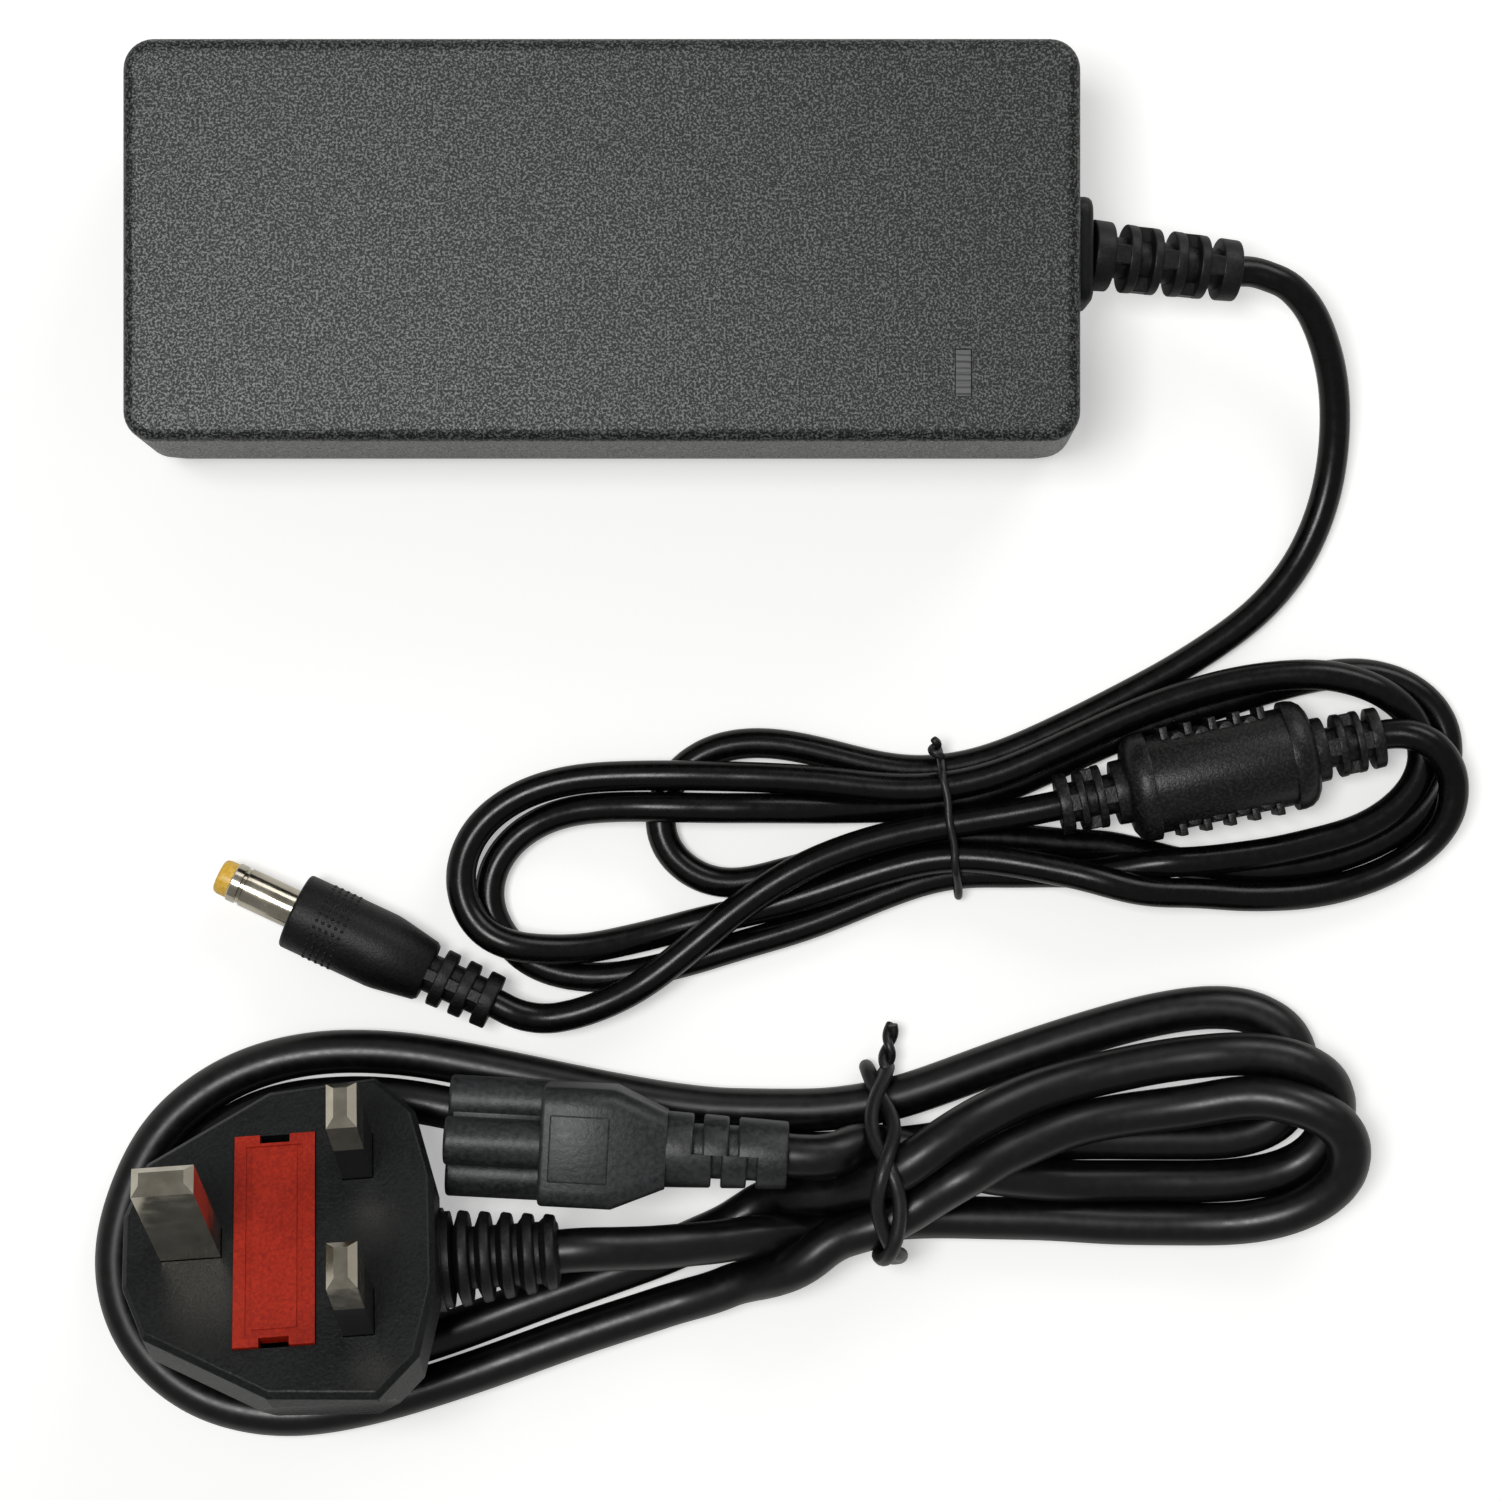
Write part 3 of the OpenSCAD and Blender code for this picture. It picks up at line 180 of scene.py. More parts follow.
# Cord routes, in millimetres
floorZ, layerZ = 2.1, 6.3  # a strand on the floor, and one on top of another
outputRoute = [
    onAxis(reliefSeat, 18), onAxis(reliefSeat, 21), onAxis(reliefSeat, 24), [94.5, -4.6, 11.6],
    [98, -10.5, 9.4], [100, -18, 6.6], [100.3, -26, 4.2], [98.8, -34.5, 2.8], [95, -42.5, 2.3],
    [89.5, -48.5, floorZ], [84.5, -52, floorZ], [77.5, -56.5, floorZ], [68, -61.4, floorZ],
    [61, -64.8, floorZ], [54, -68, floorZ], [47, -70, floorZ],
    # small loop on the left
    [40, -70.2, floorZ], [33.5, -68.6, floorZ], [26.5, -66.6, floorZ], [19.5, -65.7, floorZ],
    [13.5, -66.8, floorZ], [8.7, -70.3, floorZ], [6.2, -75.6, floorZ], [7.2, -81, floorZ],
    [11, -84.8, floorZ], [16.5, -86.7, floorZ], [24, -85.4, floorZ], [33.5, -82.2, floorZ],
    [40, -80.2, floorZ], [47, -79, floorZ],
    # outer loop round the bead
    [54, -79.4, floorZ], [61, -80.3, floorZ], [70, -81.5, floorZ], [80, -83, floorZ], [88, -84.2, floorZ],
    [96, -83.6, floorZ], [102, -81.8, floorZ], [108.7, -79, floorZ], [113.6, -75.3, floorZ],
    [116.6, -70.6, floorZ], [117.4, -66, floorZ], [115.6, -62, floorZ], [112.2, -59, floorZ],
    [107.8, -56.9, floorZ], [103, -56.2, floorZ], [97, -57.2, floorZ], [90, -59.4, floorZ],
    [82, -61.8, floorZ], [75, -63.6, floorZ], [68, -66.2, floorZ], [61, -69.6, floorZ], [54, -73, floorZ],
    [47, -74.5, floorZ],
    # lower of the two long loops on the left
    [40, -75, floorZ], [33, -75, 3.5], [26.5, -75, layerZ], [12.5, -75.3, layerZ], [4, -75.2, layerZ],
    [-3, -75.2, 4.2], [-8, -76, floorZ], [-13.5, -79, floorZ], [-16.8, -83.5, floorZ],
    [-17.6, -88, floorZ], [-15.8, -92.5, floorZ], [-12, -96.2, floorZ], [-7, -98.5, floorZ],
    [-1, -99, floorZ], [5.5, -97.8, floorZ], [12.5, -95.8, floorZ], [19.5, -93.6, floorZ],
    [26.5, -91.2, floorZ], [33.5, -88.7, floorZ], [40, -86.2, floorZ], [47, -84, floorZ],
    # inner loop round the bead, on top of the outer one
    [54, -84.2, floorZ], [61, -84.4, 2.6], [68, -83.8, 4], [75, -82.9, 5.4], [82, -82.4, 6.3],
    [89, -81.7, 5.6], [95.9, -80, 4.8], [104.2, -78.2, 5.4], [109.8, -75.6, 4.8], [112.9, -72.5, 4.6],
    [113.9, -69, 4.6], [113.7, -65.4, 4.9], [112.1, -62.3, 4.9], [108.6, -59.4, 5.2], [103.8, -57.3, 6],
    [98.8, -56.6, layerZ], [92.8, -56.9, layerZ], [85.2, -58.1, layerZ], [77, -60.4, layerZ],
    [70, -63.2, layerZ], [61, -67.4, 6.2], [54, -70.6, 6.1], [47, -72.3, 6],
    # upper of the two long loops on the left
    [40, -72.6, 6], [33.5, -71.8, 6], [26.5, -71, layerZ], [12.5, -70.8, layerZ], [4, -70.9, layerZ],
    [-3, -71, 5.6], [-9, -72, 5], [-15.4, -74.8, 4.4], [-19.8, -79.4, 4.4], [-21.1, -85, 4.8],
    [-19.8, -90.4, 6], [-16, -94, layerZ], [-9.5, -95, 5.4], [-1, -94.2, 3.4], [5.5, -92.7, floorZ],
    [12.5, -90.8, floorZ], [19.5, -89.2, floorZ], [26.5, -87.4, 2.4], [33.5, -85.4, 3.4], [40, -83.2, 5],
    [47, -81.5, 6],
    # along the bottom, up and over into the bead
    [54, -82.4, 6.2], [61, -83.4, 6.6], [68, -84.6, 6.8], [75, -85.6, 6.4], [82, -86.6, 5],
    [88.5, -87, 4.4], [95.5, -87, 3.6], [102, -86, 2.6], [108.5, -83.6, floorZ], [113.6, -80.4, 2.6],
    [116.4, -76.4, 4.2], [117.3, -72, 6.4], [115.9, -67.9, 8.4], [113, -65, 8.8], onAxis(beadSeat, 25.8),
    onAxis(beadSeat, 22.7), onAxis(beadSeat, 10), onAxis(beadSeat, 0), onAxis(beadSeat, -10),
    onAxis(beadSeat, -22.7), onAxis(beadSeat, -25),
    # from the bead over the other strands to the plug
    [54, -76.4, 6.8], [47, -77.4, 6.4], [37.5, -79.3, 6.4], [27.1, -83, 6.4], [20.2, -87.1, 6.4],
    [14, -92, 6.4], [8.4, -96.8, 6.4], [2, -100.9, 6.2], [-4, -103.4, 5.8], [-9, -104.3, 5.5],
    onAxis(gripSeat, 2.5), onAxis(gripSeat, 0), onAxis(gripSeat, -3),
]
outputCordSettings = {"thickness": 4.2, "rounds": 320, "stiffness": 0.12, "follow": 0.15, "length": 1.02}
# the bead's body and its reliefs hold strands off, as round bars: from, to, radius
beadBars = ((-7, 7, 7.4), (-22, 22, 4.2))
beadSolids = [[np.array(onAxis(beadSeat, end)[:3]) for end in (start, stop)] + [radius]
              for start, stop, radius in beadBars]
outputLine = layCord(outputRoute, outputCordSettings, beadSolids)

restZ = 3.05  # a strand of the thicker cord on the floor
mainsRoute = [
    onPlugLead(33.965), onPlugLead(36.965), onPlugLead(40.965), [6, -134.8, 14.4], [12, -134.6, 12],
    [18, -134.2, 9.4], [24, -133.7, 6.8], [30, -132.9, 4.6], [36, -132.4, 3.4], [44, -132, restZ],
    [54, -132.2, restZ], [68, -132.2, restZ], [80, -131.6, restZ],
    # lowest loop on the right, up and back over the tie
    [88, -132.2, 4], [96, -130.6, 5.6], [101.4, -126.2, 8], [102, -120.4, 10.4], [97.4, -115.4, 11],
    [89.5, -114, 10.2], [80, -116.4, 9.2], [68, -117.6, 9.2], [60, -119.2, 10.6], [53, -121.6, 13],
    [46, -125.2, 14.4], [40, -128.6, 13], [34, -132, 11.6], [29, -135, 10.6], [24, -137.8, 8.2],
    [18, -140.8, 4.6], [11, -143.4, restZ],
    # outer loop under the plug
    [-4, -148.2, restZ], [-19, -153.6, restZ], [-34, -158, restZ], [-46, -159.5, restZ],
    [-57, -156.8, restZ], [-65, -150, restZ], [-68.5, -141, restZ], [-67.5, -131.5, restZ],
    [-62, -120, restZ], [-53, -112.8, restZ], [-42, -109.4, restZ], [-29, -109.3, restZ],
    [-16, -111.6, restZ], [0, -114.8, restZ], [14, -117, restZ], [28, -117.2, restZ], [38, -116, restZ],
    # highest loop on the right
    [46, -113.4, restZ], [54, -110.4, restZ], [68, -106, restZ], [78, -103.6, restZ], [87, -102.8, restZ],
    [93.8, -105.4, restZ], [96.6, -112, restZ], [93.8, -118.4, restZ], [87, -121.2, restZ],
    [78, -121.4, restZ], [68, -121.4, restZ], [54, -121.5, restZ], [46, -122, restZ], [38, -122.6, restZ],
    [28, -123.2, restZ], [14, -122.8, restZ],
    # inner loop under the plug
    [0, -121.2, restZ], [-16, -118.3, restZ], [-29, -115.7, restZ], [-40, -115.7, restZ],
    [-49, -117.5, restZ], [-57, -123, restZ], [-61.5, -132, restZ], [-61.5, -141, restZ],
    [-56.5, -148, restZ], [-47, -152.8, restZ], [-37, -152, restZ], [-24, -148.6, restZ],
    [-9, -143, restZ], [4, -138.4, restZ], [12, -135.4, restZ], [18, -132.6, 3.6], [24, -130, 5.8],
    [30, -128.4, 8.6], [37, -126.6, 12], [43, -123.4, 14.8], [48, -120, 14.4], [54, -116.8, 12],
    # middle loop on the right
    [62, -113.2, 9.4], [75, -110.2, 9], [87, -109, 9.2], [95, -110.2, 8.8], [100, -114.6, 7],
    [100.2, -120.2, 4.6], [95.6, -125.2, restZ], [87, -127.2, restZ], [78, -127.2, restZ],
    [68, -127, 3.4], [60, -126.4, 6], [52, -125, 8.4], [44, -123, 10.2], [36, -122.4, 12.6],
    onAxis(connectorSeat, 49.5), onAxis(connectorSeat, 46.5), onAxis(connectorSeat, 43.5),
]
mainsCordSettings = {"thickness": 6, "rounds": 360, "stiffness": 0.1, "follow": 0.25, "length": 0.94}
mainsLine = layCord(mainsRoute, mainsCordSettings)
print("cords settled, %.3f m and %.3f m" % tuple(
    np.linalg.norm(np.diff(line, axis=0), axis=1).sum() * mm for line in (outputLine, mainsLine)))


# Node materials

def hexColour(text):
    # sRGB hex to the linear colour that the shader takes
    parts = [int(text[k:k + 2], 16) / 255 for k in (1, 3, 5)]
    return [c / 12.92 if c < 0.04045 else ((c + 0.055) / 1.055) ** 2.4 for c in parts] + [1]


def addNode(tree, kind, inputs=None, **settings):
    # inputs are socket names or numbers, each with a value or the socket to link from
    node = tree.nodes.new(kind)
    for name, value in settings.items():
        setattr(node, name, value)
    for name, value in (inputs or {}).items():
        if isinstance(value, bpy.types.NodeSocket):
            tree.links.new(value, node.inputs[name])
        else:
            node.inputs[name].default_value = value
    return node


def startMaterial(name, **sockets):
    material = bpy.data.materials.new(name)
    material.use_nodes = True
    tree = material.node_tree
    surface = tree.nodes["Principled BSDF"]
    for socket, value in sockets.items():
        surface.inputs[socket.replace("_", " ")].default_value = value
    place = addNode(tree, "ShaderNodeTexCoord").outputs["Object"]
    return material, tree, surface, place


# What a moulding has unless its own settings say otherwise; grain, cloud and depth are in millimetres
plainMoulding = {"ior": 1.5, "cloud": 9, "clouding": 0.35, "spread": (0.5, 0.85), "bump": 0.5,
                 "roughSpan": (0.4, 0.9), "roughRange": 0.06}


def mouldedPlastic(name, settings):
    # grain breaks the surface into lighter and darker specks; a slow second noise gives cloudy marks
    finish = {**plainMoulding, **settings}
    material, tree, surface, place = startMaterial(name, Roughness=finish["roughness"], IOR=finish["ior"])
    grain = addNode(tree, "ShaderNodeTexNoise", {
        "Vector": place, "Scale": 1 / (finish["grain"] * mm), "Detail": 3.0, "Roughness": 0.6})
    cloud = addNode(tree, "ShaderNodeTexNoise", {
        "Vector": place, "Scale": 1 / (finish["cloud"] * mm), "Detail": 2.0})
    clouding = addNode(tree, "ShaderNodeMath", {0: cloud.outputs["Fac"], 1: finish["clouding"]},
                       operation="MULTIPLY")
    mixed = addNode(tree, "ShaderNodeMath", {0: grain.outputs["Fac"], 1: clouding.outputs[0]},
                    operation="ADD")
    colour = addNode(tree, "ShaderNodeValToRGB", {"Fac": mixed.outputs[0]})
    ramp = colour.color_ramp.elements
    ramp[0].position, ramp[1].position = finish["spread"]
    ramp[0].color, ramp[1].color = hexColour(finish["dark"]), hexColour(finish["light"])
    tree.links.new(colour.outputs["Color"], surface.inputs["Base Color"])
    rough = addNode(tree, "ShaderNodeMapRange", {
        "Value": mixed.outputs[0], "From Min": finish["roughSpan"][0], "From Max": finish["roughSpan"][1],
        "To Min": finish["roughness"] - finish["roughRange"],
        "To Max": finish["roughness"] + finish["roughRange"]})
    tree.links.new(rough.outputs["Result"], surface.inputs["Roughness"])
    bump = addNode(tree, "ShaderNodeBump", {
        "Height": grain.outputs["Fac"], "Strength": finish["bump"], "Distance": finish["depth"] * mm})
    tree.links.new(bump.outputs["Normal"], surface.inputs["Normal"])
    return material


def workedMetal(name, finish):
    # rolling or drawing marks run one way, so the noise is stretched across them
    material, tree, surface, place = startMaterial(name, Roughness=finish["roughness"], Metallic=1)
    stretched = addNode(tree, "ShaderNodeMapping", {"Vector": place, "Scale": finish["stretch"]})
    marks = addNode(tree, "ShaderNodeTexNoise", {
        "Vector": stretched.outputs[0], "Scale": 1 / (finish["grain"] * mm), "Detail": 3.0})
    colour = addNode(tree, "ShaderNodeValToRGB", {"Fac": marks.outputs["Fac"]})
    low, high = 0.3, 0.7  # the noise seldom leaves this span
    ramp = colour.color_ramp.elements
    ramp[0].position, ramp[1].position = low, high
    ramp[0].color, ramp[1].color = hexColour(finish["dark"]), hexColour(finish["light"])
    tree.links.new(colour.outputs["Color"], surface.inputs["Base Color"])
    rough = addNode(tree, "ShaderNodeMapRange", {
        "Value": marks.outputs["Fac"], "From Min": low, "From Max": high,
        "To Min": finish["roughness"] - 0.05, "To Max": finish["roughness"] + 0.07})
    tree.links.new(rough.outputs["Result"], surface.inputs["Roughness"])
    bump = addNode(tree, "ShaderNodeBump", {
        "Height": marks.outputs["Fac"], "Strength": 0.2, "Distance": finish["depth"] * mm})
    tree.links.new(bump.outputs["Normal"], surface.inputs["Normal"])
    return material


def addSeamShade(material, seamShade):
    # painted shade: the colour goes dark in a thin band at one height, standing in for the shade in the
    # groove between two covers
    tree = material.node_tree
    surface = tree.nodes["Principled BSDF"]
    place = tree.nodes["Texture Coordinate"].outputs["Object"]
    height = addNode(tree, "ShaderNodeSeparateXYZ", {"Vector": place}).outputs["Z"]
    offset = addNode(tree, "ShaderNodeMath", {0: height, 1: seamShade["height"] * mm}, operation="SUBTRACT")
    distance = addNode(tree, "ShaderNodeMath", {0: offset.outputs[0]}, operation="ABSOLUTE")
    inner, outer = 0.6 * seamShade["half"] * mm, 1.4 * seamShade["half"] * mm
    seamShadeFactor = addNode(tree, "ShaderNodeMapRange", {
        "Value": distance.outputs[0], "From Min": inner, "From Max": outer})
    colour = surface.inputs["Base Color"].links[0].from_socket
    # painted shade: the base colour is scaled towards black inside the band
    shade = addNode(tree, "ShaderNodeVectorMath", {0: colour, "Scale": seamShadeFactor.outputs["Result"]},
                    operation="SCALE")
    tree.links.new(shade.outputs["Vector"], surface.inputs["Base Color"])


# Spark-eroded ABS: matt pits between polished high spots that glitter under a lamp, so its rough range is
# turned round; the real pits are 0.2 mm, drawn at 0.3 mm to show
caseAbs = mouldedPlastic("spark-eroded black ABS", {
    "dark": "#010202", "light": "#5d6160", "grain": 0.32, "depth": 0.08, "bump": 0.9, "roughness": 0.38,
    "roughRange": -0.14, "roughSpan": (0.4, 0.6), "spread": (0.5, 0.59), "clouding": 0.0, "ior": 1.43})
# painted shade: at the parting line between the covers the colour goes dark in a fine band all round, for
# the shade in its groove
caseSeamShade = {"height": 10, "half": 0.16}
addSeamShade(caseAbs, caseSeamShade)
# Moulded nylon: smoother and darker than the case
inletNylon = mouldedPlastic("satin moulded black nylon", {
    "dark": "#0c0d0e", "light": "#1b1d1e", "grain": 0.4, "depth": 0.03, "roughness": 0.38})
# Soft PVC: satin, nearly black, with a faint flow mark
reliefPvc = mouldedPlastic("satin moulded black PVC", {
    "dark": "#050506", "light": "#131314", "grain": 0.5, "depth": 0.08, "bump": 0.6, "roughness": 0.46,
    "ior": 1.4})
# Overmoulds from a textured mould: the specks of the grain catch the light
beadPvc = mouldedPlastic("fine-grained black PVC overmould", {
    "dark": "#030304", "light": "#252322", "grain": 0.4, "depth": 0.08, "bump": 0.8, "roughness": 0.4,
    "spread": (0.44, 0.68), "clouding": 0.0, "ior": 1.42})
gripPvc = mouldedPlastic("fine-grained black PVC grip", {
    "dark": "#030304", "light": "#111112", "grain": 0.4, "depth": 0.1, "bump": 0.7, "roughness": 0.44,
    "ior": 1.36})
# Extruded PVC: glossy, so it shows one clear streak of light along its length
cordPvc = mouldedPlastic("extruded glossy black PVC", {
    "dark": "#030303", "light": "#080707", "grain": 1.2, "depth": 0.02, "bump": 0.3, "roughness": 0.25,
    "cloud": 30, "ior": 1.36})
# Mains flex: less glossy, so the streak is wider and softer
mainsPvc = mouldedPlastic("extruded black PVC mains flex", {
    "dark": "#040404", "light": "#0a0a0a", "grain": 1.4, "depth": 0.02, "bump": 0.3, "roughness": 0.34,
    "cloud": 40, "ior": 1.48})
# Textured PVC: an even, dull black, deeper in its pits
plugPvc = mouldedPlastic("textured black PVC plug moulding", {
    "dark": "#040505", "light": "#141616", "grain": 0.5, "depth": 0.12, "bump": 0.7, "roughness": 0.44,
    "ior": 1.38})
# Satin PVC: a dark grey that stands out from the black flex
connectorPvc = mouldedPlastic("satin dark grey PVC connector moulding", {
    "dark": "#161718", "light": "#2f3031", "grain": 0.7, "depth": 0.1, "bump": 0.6, "roughness": 0.44})
# Moulded nylon: smooth black with a clear sheen
sleeveNylon = mouldedPlastic("moulded black nylon pin sleeve", {
    "dark": "#060606", "light": "#111213", "grain": 0.5, "depth": 0.02, "roughness": 0.33})
# Red nylon: strong, slightly cloudy red with a soft sheen
carrierNylon = mouldedPlastic("moulded red nylon", {
    "dark": "#8f1805", "light": "#b02608", "grain": 0.5, "depth": 0.05, "roughness": 0.46, "cloud": 5,
    "ior": 1.38})
# Yellow nylon: bright, nearly even
tipNylon = mouldedPlastic("moulded yellow nylon", {
    "dark": "#d3a024", "light": "#ecc255", "grain": 0.4, "depth": 0.02, "roughness": 0.36, "cloud": 3})
# Tie wire: a thin, slightly dusty black coat
tiePvc = mouldedPlastic("PVC-coated black tie wire", {
    "dark": "#080808", "light": "#1a1b1b", "grain": 0.3, "depth": 0.04, "roughness": 0.4})
# Bright nickel on brass: warm white metal with dark reflections, the plate slightly uneven
nickel = workedMetal("bright nickel plate", {
    "dark": "#b3ac9b", "light": "#d2cbbb", "grain": 3, "depth": 0.004, "roughness": 0.17,
    "stretch": (1, 1, 1)})
# Rolled brass: warm yellow with fine lines along the strip
springBrass = workedMetal("rolled spring brass", {
    "dark": "#b98a35", "light": "#dcb560", "grain": 0.4, "depth": 0.01, "roughness": 0.28,
    "stretch": (0.1, 1, 1)})
# Mill finish: pale grey, with long rolling lines that smear the light
aluminium = workedMetal("mill-finish rolled aluminium", {
    "dark": "#b9bcbf", "light": "#dcdee0", "grain": 0.3, "depth": 0.02, "roughness": 0.36,
    "stretch": (0.06, 1, 1)})
# Solder mask: glossy green with slow clouds where the glass laminate shows through
boardMask = mouldedPlastic("green solder mask on glass laminate", {
    "dark": "#12491f", "light": "#236b33", "grain": 1.6, "depth": 0.03, "roughness": 0.32, "cloud": 4})
# Moulded epoxy: dull and very fine
epoxy = mouldedPlastic("transfer-moulded black epoxy", {
    "dark": "#1b1b1c", "light": "#303031", "grain": 0.25, "depth": 0.03, "roughness": 0.55})
# Dipped enamel: thick, smooth and glossy
dippedBrown = mouldedPlastic("dipped brown enamel", {
    "dark": "#4a2614", "light": "#6b3a20", "grain": 0.8, "depth": 0.03, "roughness": 0.25})
dippedGreen = mouldedPlastic("dipped dark green enamel", {
    "dark": "#22382a", "light": "#375441", "grain": 0.8, "depth": 0.03, "roughness": 0.3})
dippedBlue = mouldedPlastic("dipped blue enamel", {
    "dark": "#1f4f8f", "light": "#3468ad", "grain": 0.8, "depth": 0.03, "roughness": 0.25})
# Moulded polyester: satin white, and a box of warm yellow
whitePolyester = mouldedPlastic("moulded white polyester", {
    "dark": "#d9d6cc", "light": "#eeece4", "grain": 0.4, "depth": 0.02, "roughness": 0.5})
filmBox = mouldedPlastic("flame-retardant yellow polyester box", {
    "dark": "#cf9c1c", "light": "#e4b636", "grain": 0.5, "depth": 0.03, "roughness": 0.38})
# Shrunk PVC sleeve: smooth, drawn tight, with broad highlights
blueSleeve = mouldedPlastic("shrunk dark blue PVC sleeve", {
    "dark": "#14223f", "light": "#22345c", "grain": 1.5, "depth": 0.03, "roughness": 0.28})
violetSleeve = mouldedPlastic("shrunk violet PVC sleeve", {
    "dark": "#2c2044", "light": "#423162", "grain": 1.5, "depth": 0.03, "roughness": 0.28})
# Sintered ferrite: dry, matt grey with a powdery grain
ferrite = mouldedPlastic("sintered grey ferrite", {
    "dark": "#3a3b3d", "light": "#56585a", "grain": 0.2, "depth": 0.04, "roughness": 0.6})
# Silicone pad: matt and soft, and a smooth cream sheet beside it
siliconePad = mouldedPlastic("grey silicone gap pad", {
    "dark": "#8b9298", "light": "#a3aab0", "grain": 0.3, "depth": 0.04, "roughness": 0.7})
polyesterSheet = mouldedPlastic("cream polyester insulating sheet", {
    "dark": "#e3d9bd", "light": "#f0e8d0", "grain": 2.5, "depth": 0.02, "roughness": 0.3})
# Wire covering: even, half glossy red
redWire = mouldedPlastic("extruded red PVC wire covering", {
    "dark": "#a31812", "light": "#c22c22", "grain": 0.6, "depth": 0.02, "roughness": 0.35})
# Glazed ceramic: clean white under a glassy coat
fuseCeramic = mouldedPlastic("glazed white fuse ceramic", {
    "dark": "#dedacd", "light": "#f0ede3", "grain": 1.5, "depth": 0.01, "roughness": 0.18})


bandPeriod = 0.314  # metres from band to band of a wave texture at a scale of 1


def woundWire(name, finish):
    # turns side by side: a band pattern one wire wide, with painted shade in the gaps between the turns
    material, tree, surface, place = startMaterial(
        name, Roughness=finish["roughness"], Metallic=finish["metallic"])
    turns = addNode(tree, "ShaderNodeTexWave", {
        "Vector": place, "Scale": bandPeriod / (finish["wire"] * mm), "Distortion": 0.4, "Detail": 1.0},
        bands_direction=finish["along"])
    colour = addNode(tree, "ShaderNodeValToRGB", {"Fac": turns.outputs["Fac"]})
    colour.color_ramp.elements[0].color = hexColour(finish["dark"])
    colour.color_ramp.elements[1].color = hexColour(finish["light"])
    tree.links.new(colour.outputs["Color"], surface.inputs["Base Color"])
    bump = addNode(tree, "ShaderNodeBump", {
        "Height": turns.outputs["Fac"], "Strength": 0.6, "Distance": 0.3 * finish["wire"] * mm})
    tree.links.new(bump.outputs["Normal"], surface.inputs["Normal"])
    return material


# the dark colour of each wound finish is painted shade in the gaps between the turns
copperWire = woundWire("enamelled copper wire", {
    "dark": "#6b2f12", "light": "#c06a35", "wire": 0.7, "along": "X", "roughness": 0.28, "metallic": 1})
windingTape = woundWire("yellow polyester tape over the winding", {
    "dark": "#c99418", "light": "#ecc34a", "wire": 3, "along": "Z", "roughness": 0.32, "metallic": 0})


def translucentWindow(name, finish):
    # light enters the grey moulding and comes back milky, with fine ribs across
    material, tree, surface, place = startMaterial(
        name, Roughness=finish["roughness"], IOR=1.58, Transmission_Weight=finish["clear"])
    ribs = addNode(tree, "ShaderNodeTexWave", {
        "Vector": place, "Scale": bandPeriod / (finish["rib"] * mm), "Distortion": 2.5, "Detail": 2.0,
        "Detail Scale": 0.6}, bands_direction="Y")
    colour = addNode(tree, "ShaderNodeValToRGB", {"Fac": ribs.outputs["Fac"]})
    ramp = colour.color_ramp.elements
    ramp[0].position, ramp[1].position = finish["spread"]
    ramp[0].color, ramp[1].color = hexColour(finish["dark"]), hexColour(finish["light"])
    tree.links.new(colour.outputs["Color"], surface.inputs["Base Color"])
    return material


windowGrey = translucentWindow("translucent grey polycarbonate", {
    "dark": "#262727", "light": "#5f605f", "spread": (0.05, 0.4), "rib": 0.85, "roughness": 0.3,
    "clear": 0.2})
print("materials made")


# Floor, world and lamps
stage = {
    "floorHalf": 2.5, "floorDrop": 0.05, "paper": "#e9e9e7", "paperGlow": 0.38,
    "skyStrength": 0.25, "skySeen": 0.588,  # the sky looks like the floor far away
    "aim": (0.02, -0.067, 0),
    "topLamp": {"place": (-0.17, -0.03, 0.85), "size": (0.26, 0.26), "power": 4.0},
    "sideLamp": {"place": (0.45, 0.65, 0.5), "size": (0.5, 0.4), "power": 2.2},
}


def stageFloor():
    # a white paper sweep that looks evenly white, yet shows soft shadows
    mesh = bpy.data.meshes.new("floor")
    shape = bmesh.new()
    bmesh.ops.create_grid(shape, x_segments=1, y_segments=1, size=stage["floorHalf"])
    bmesh.ops.translate(shape, verts=shape.verts, vec=(0, 0, -stage["floorDrop"] * mm))
    shape.to_mesh(mesh)
    shape.free()
    floor = bpy.data.objects.new("floor", mesh)
    bpy.context.scene.collection.objects.link(floor)
    material = bpy.data.materials.new("white paper sweep")
    material.use_nodes = True
    tree = material.node_tree
    tree.nodes.clear()
    paper = addNode(tree, "ShaderNodeBsdfDiffuse", {"Color": hexColour(stage["paper"])})
    rays = addNode(tree, "ShaderNodeLightPath").outputs
    seen = addNode(tree, "ShaderNodeMath", {0: rays["Is Camera Ray"], 1: rays["Is Transmission Ray"]},
                   operation="MAXIMUM")
    glow = addNode(tree, "ShaderNodeMath", {0: seen.outputs[0], 1: stage["paperGlow"]},
                   operation="MULTIPLY")
    light = addNode(tree, "ShaderNodeEmission", {"Color": (1, 1, 1, 1), "Strength": glow.outputs[0]})
    both = addNode(tree, "ShaderNodeAddShader", {0: paper.outputs[0], 1: light.outputs[0]})
    addNode(tree, "ShaderNodeOutputMaterial", {"Surface": both.outputs[0]})
    floor.data.materials.append(material)


def stageWorld():
    # an even sky, dimmer where it lights the pieces than where the camera sees it
    world = bpy.data.worlds.new("studio")
    bpy.context.scene.world = world
    world.use_nodes = True
    tree = world.node_tree
    tree.nodes.clear()
    rays = addNode(tree, "ShaderNodeLightPath").outputs
    strength = addNode(tree, "ShaderNodeMapRange", {
        "Value": rays["Is Camera Ray"], "To Min": stage["skyStrength"], "To Max": stage["skySeen"]})
    sky = addNode(tree, "ShaderNodeBackground", {
        "Color": (1, 1, 1, 1), "Strength": strength.outputs["Result"]})
    addNode(tree, "ShaderNodeOutputWorld", {"Surface": sky.outputs[0]})


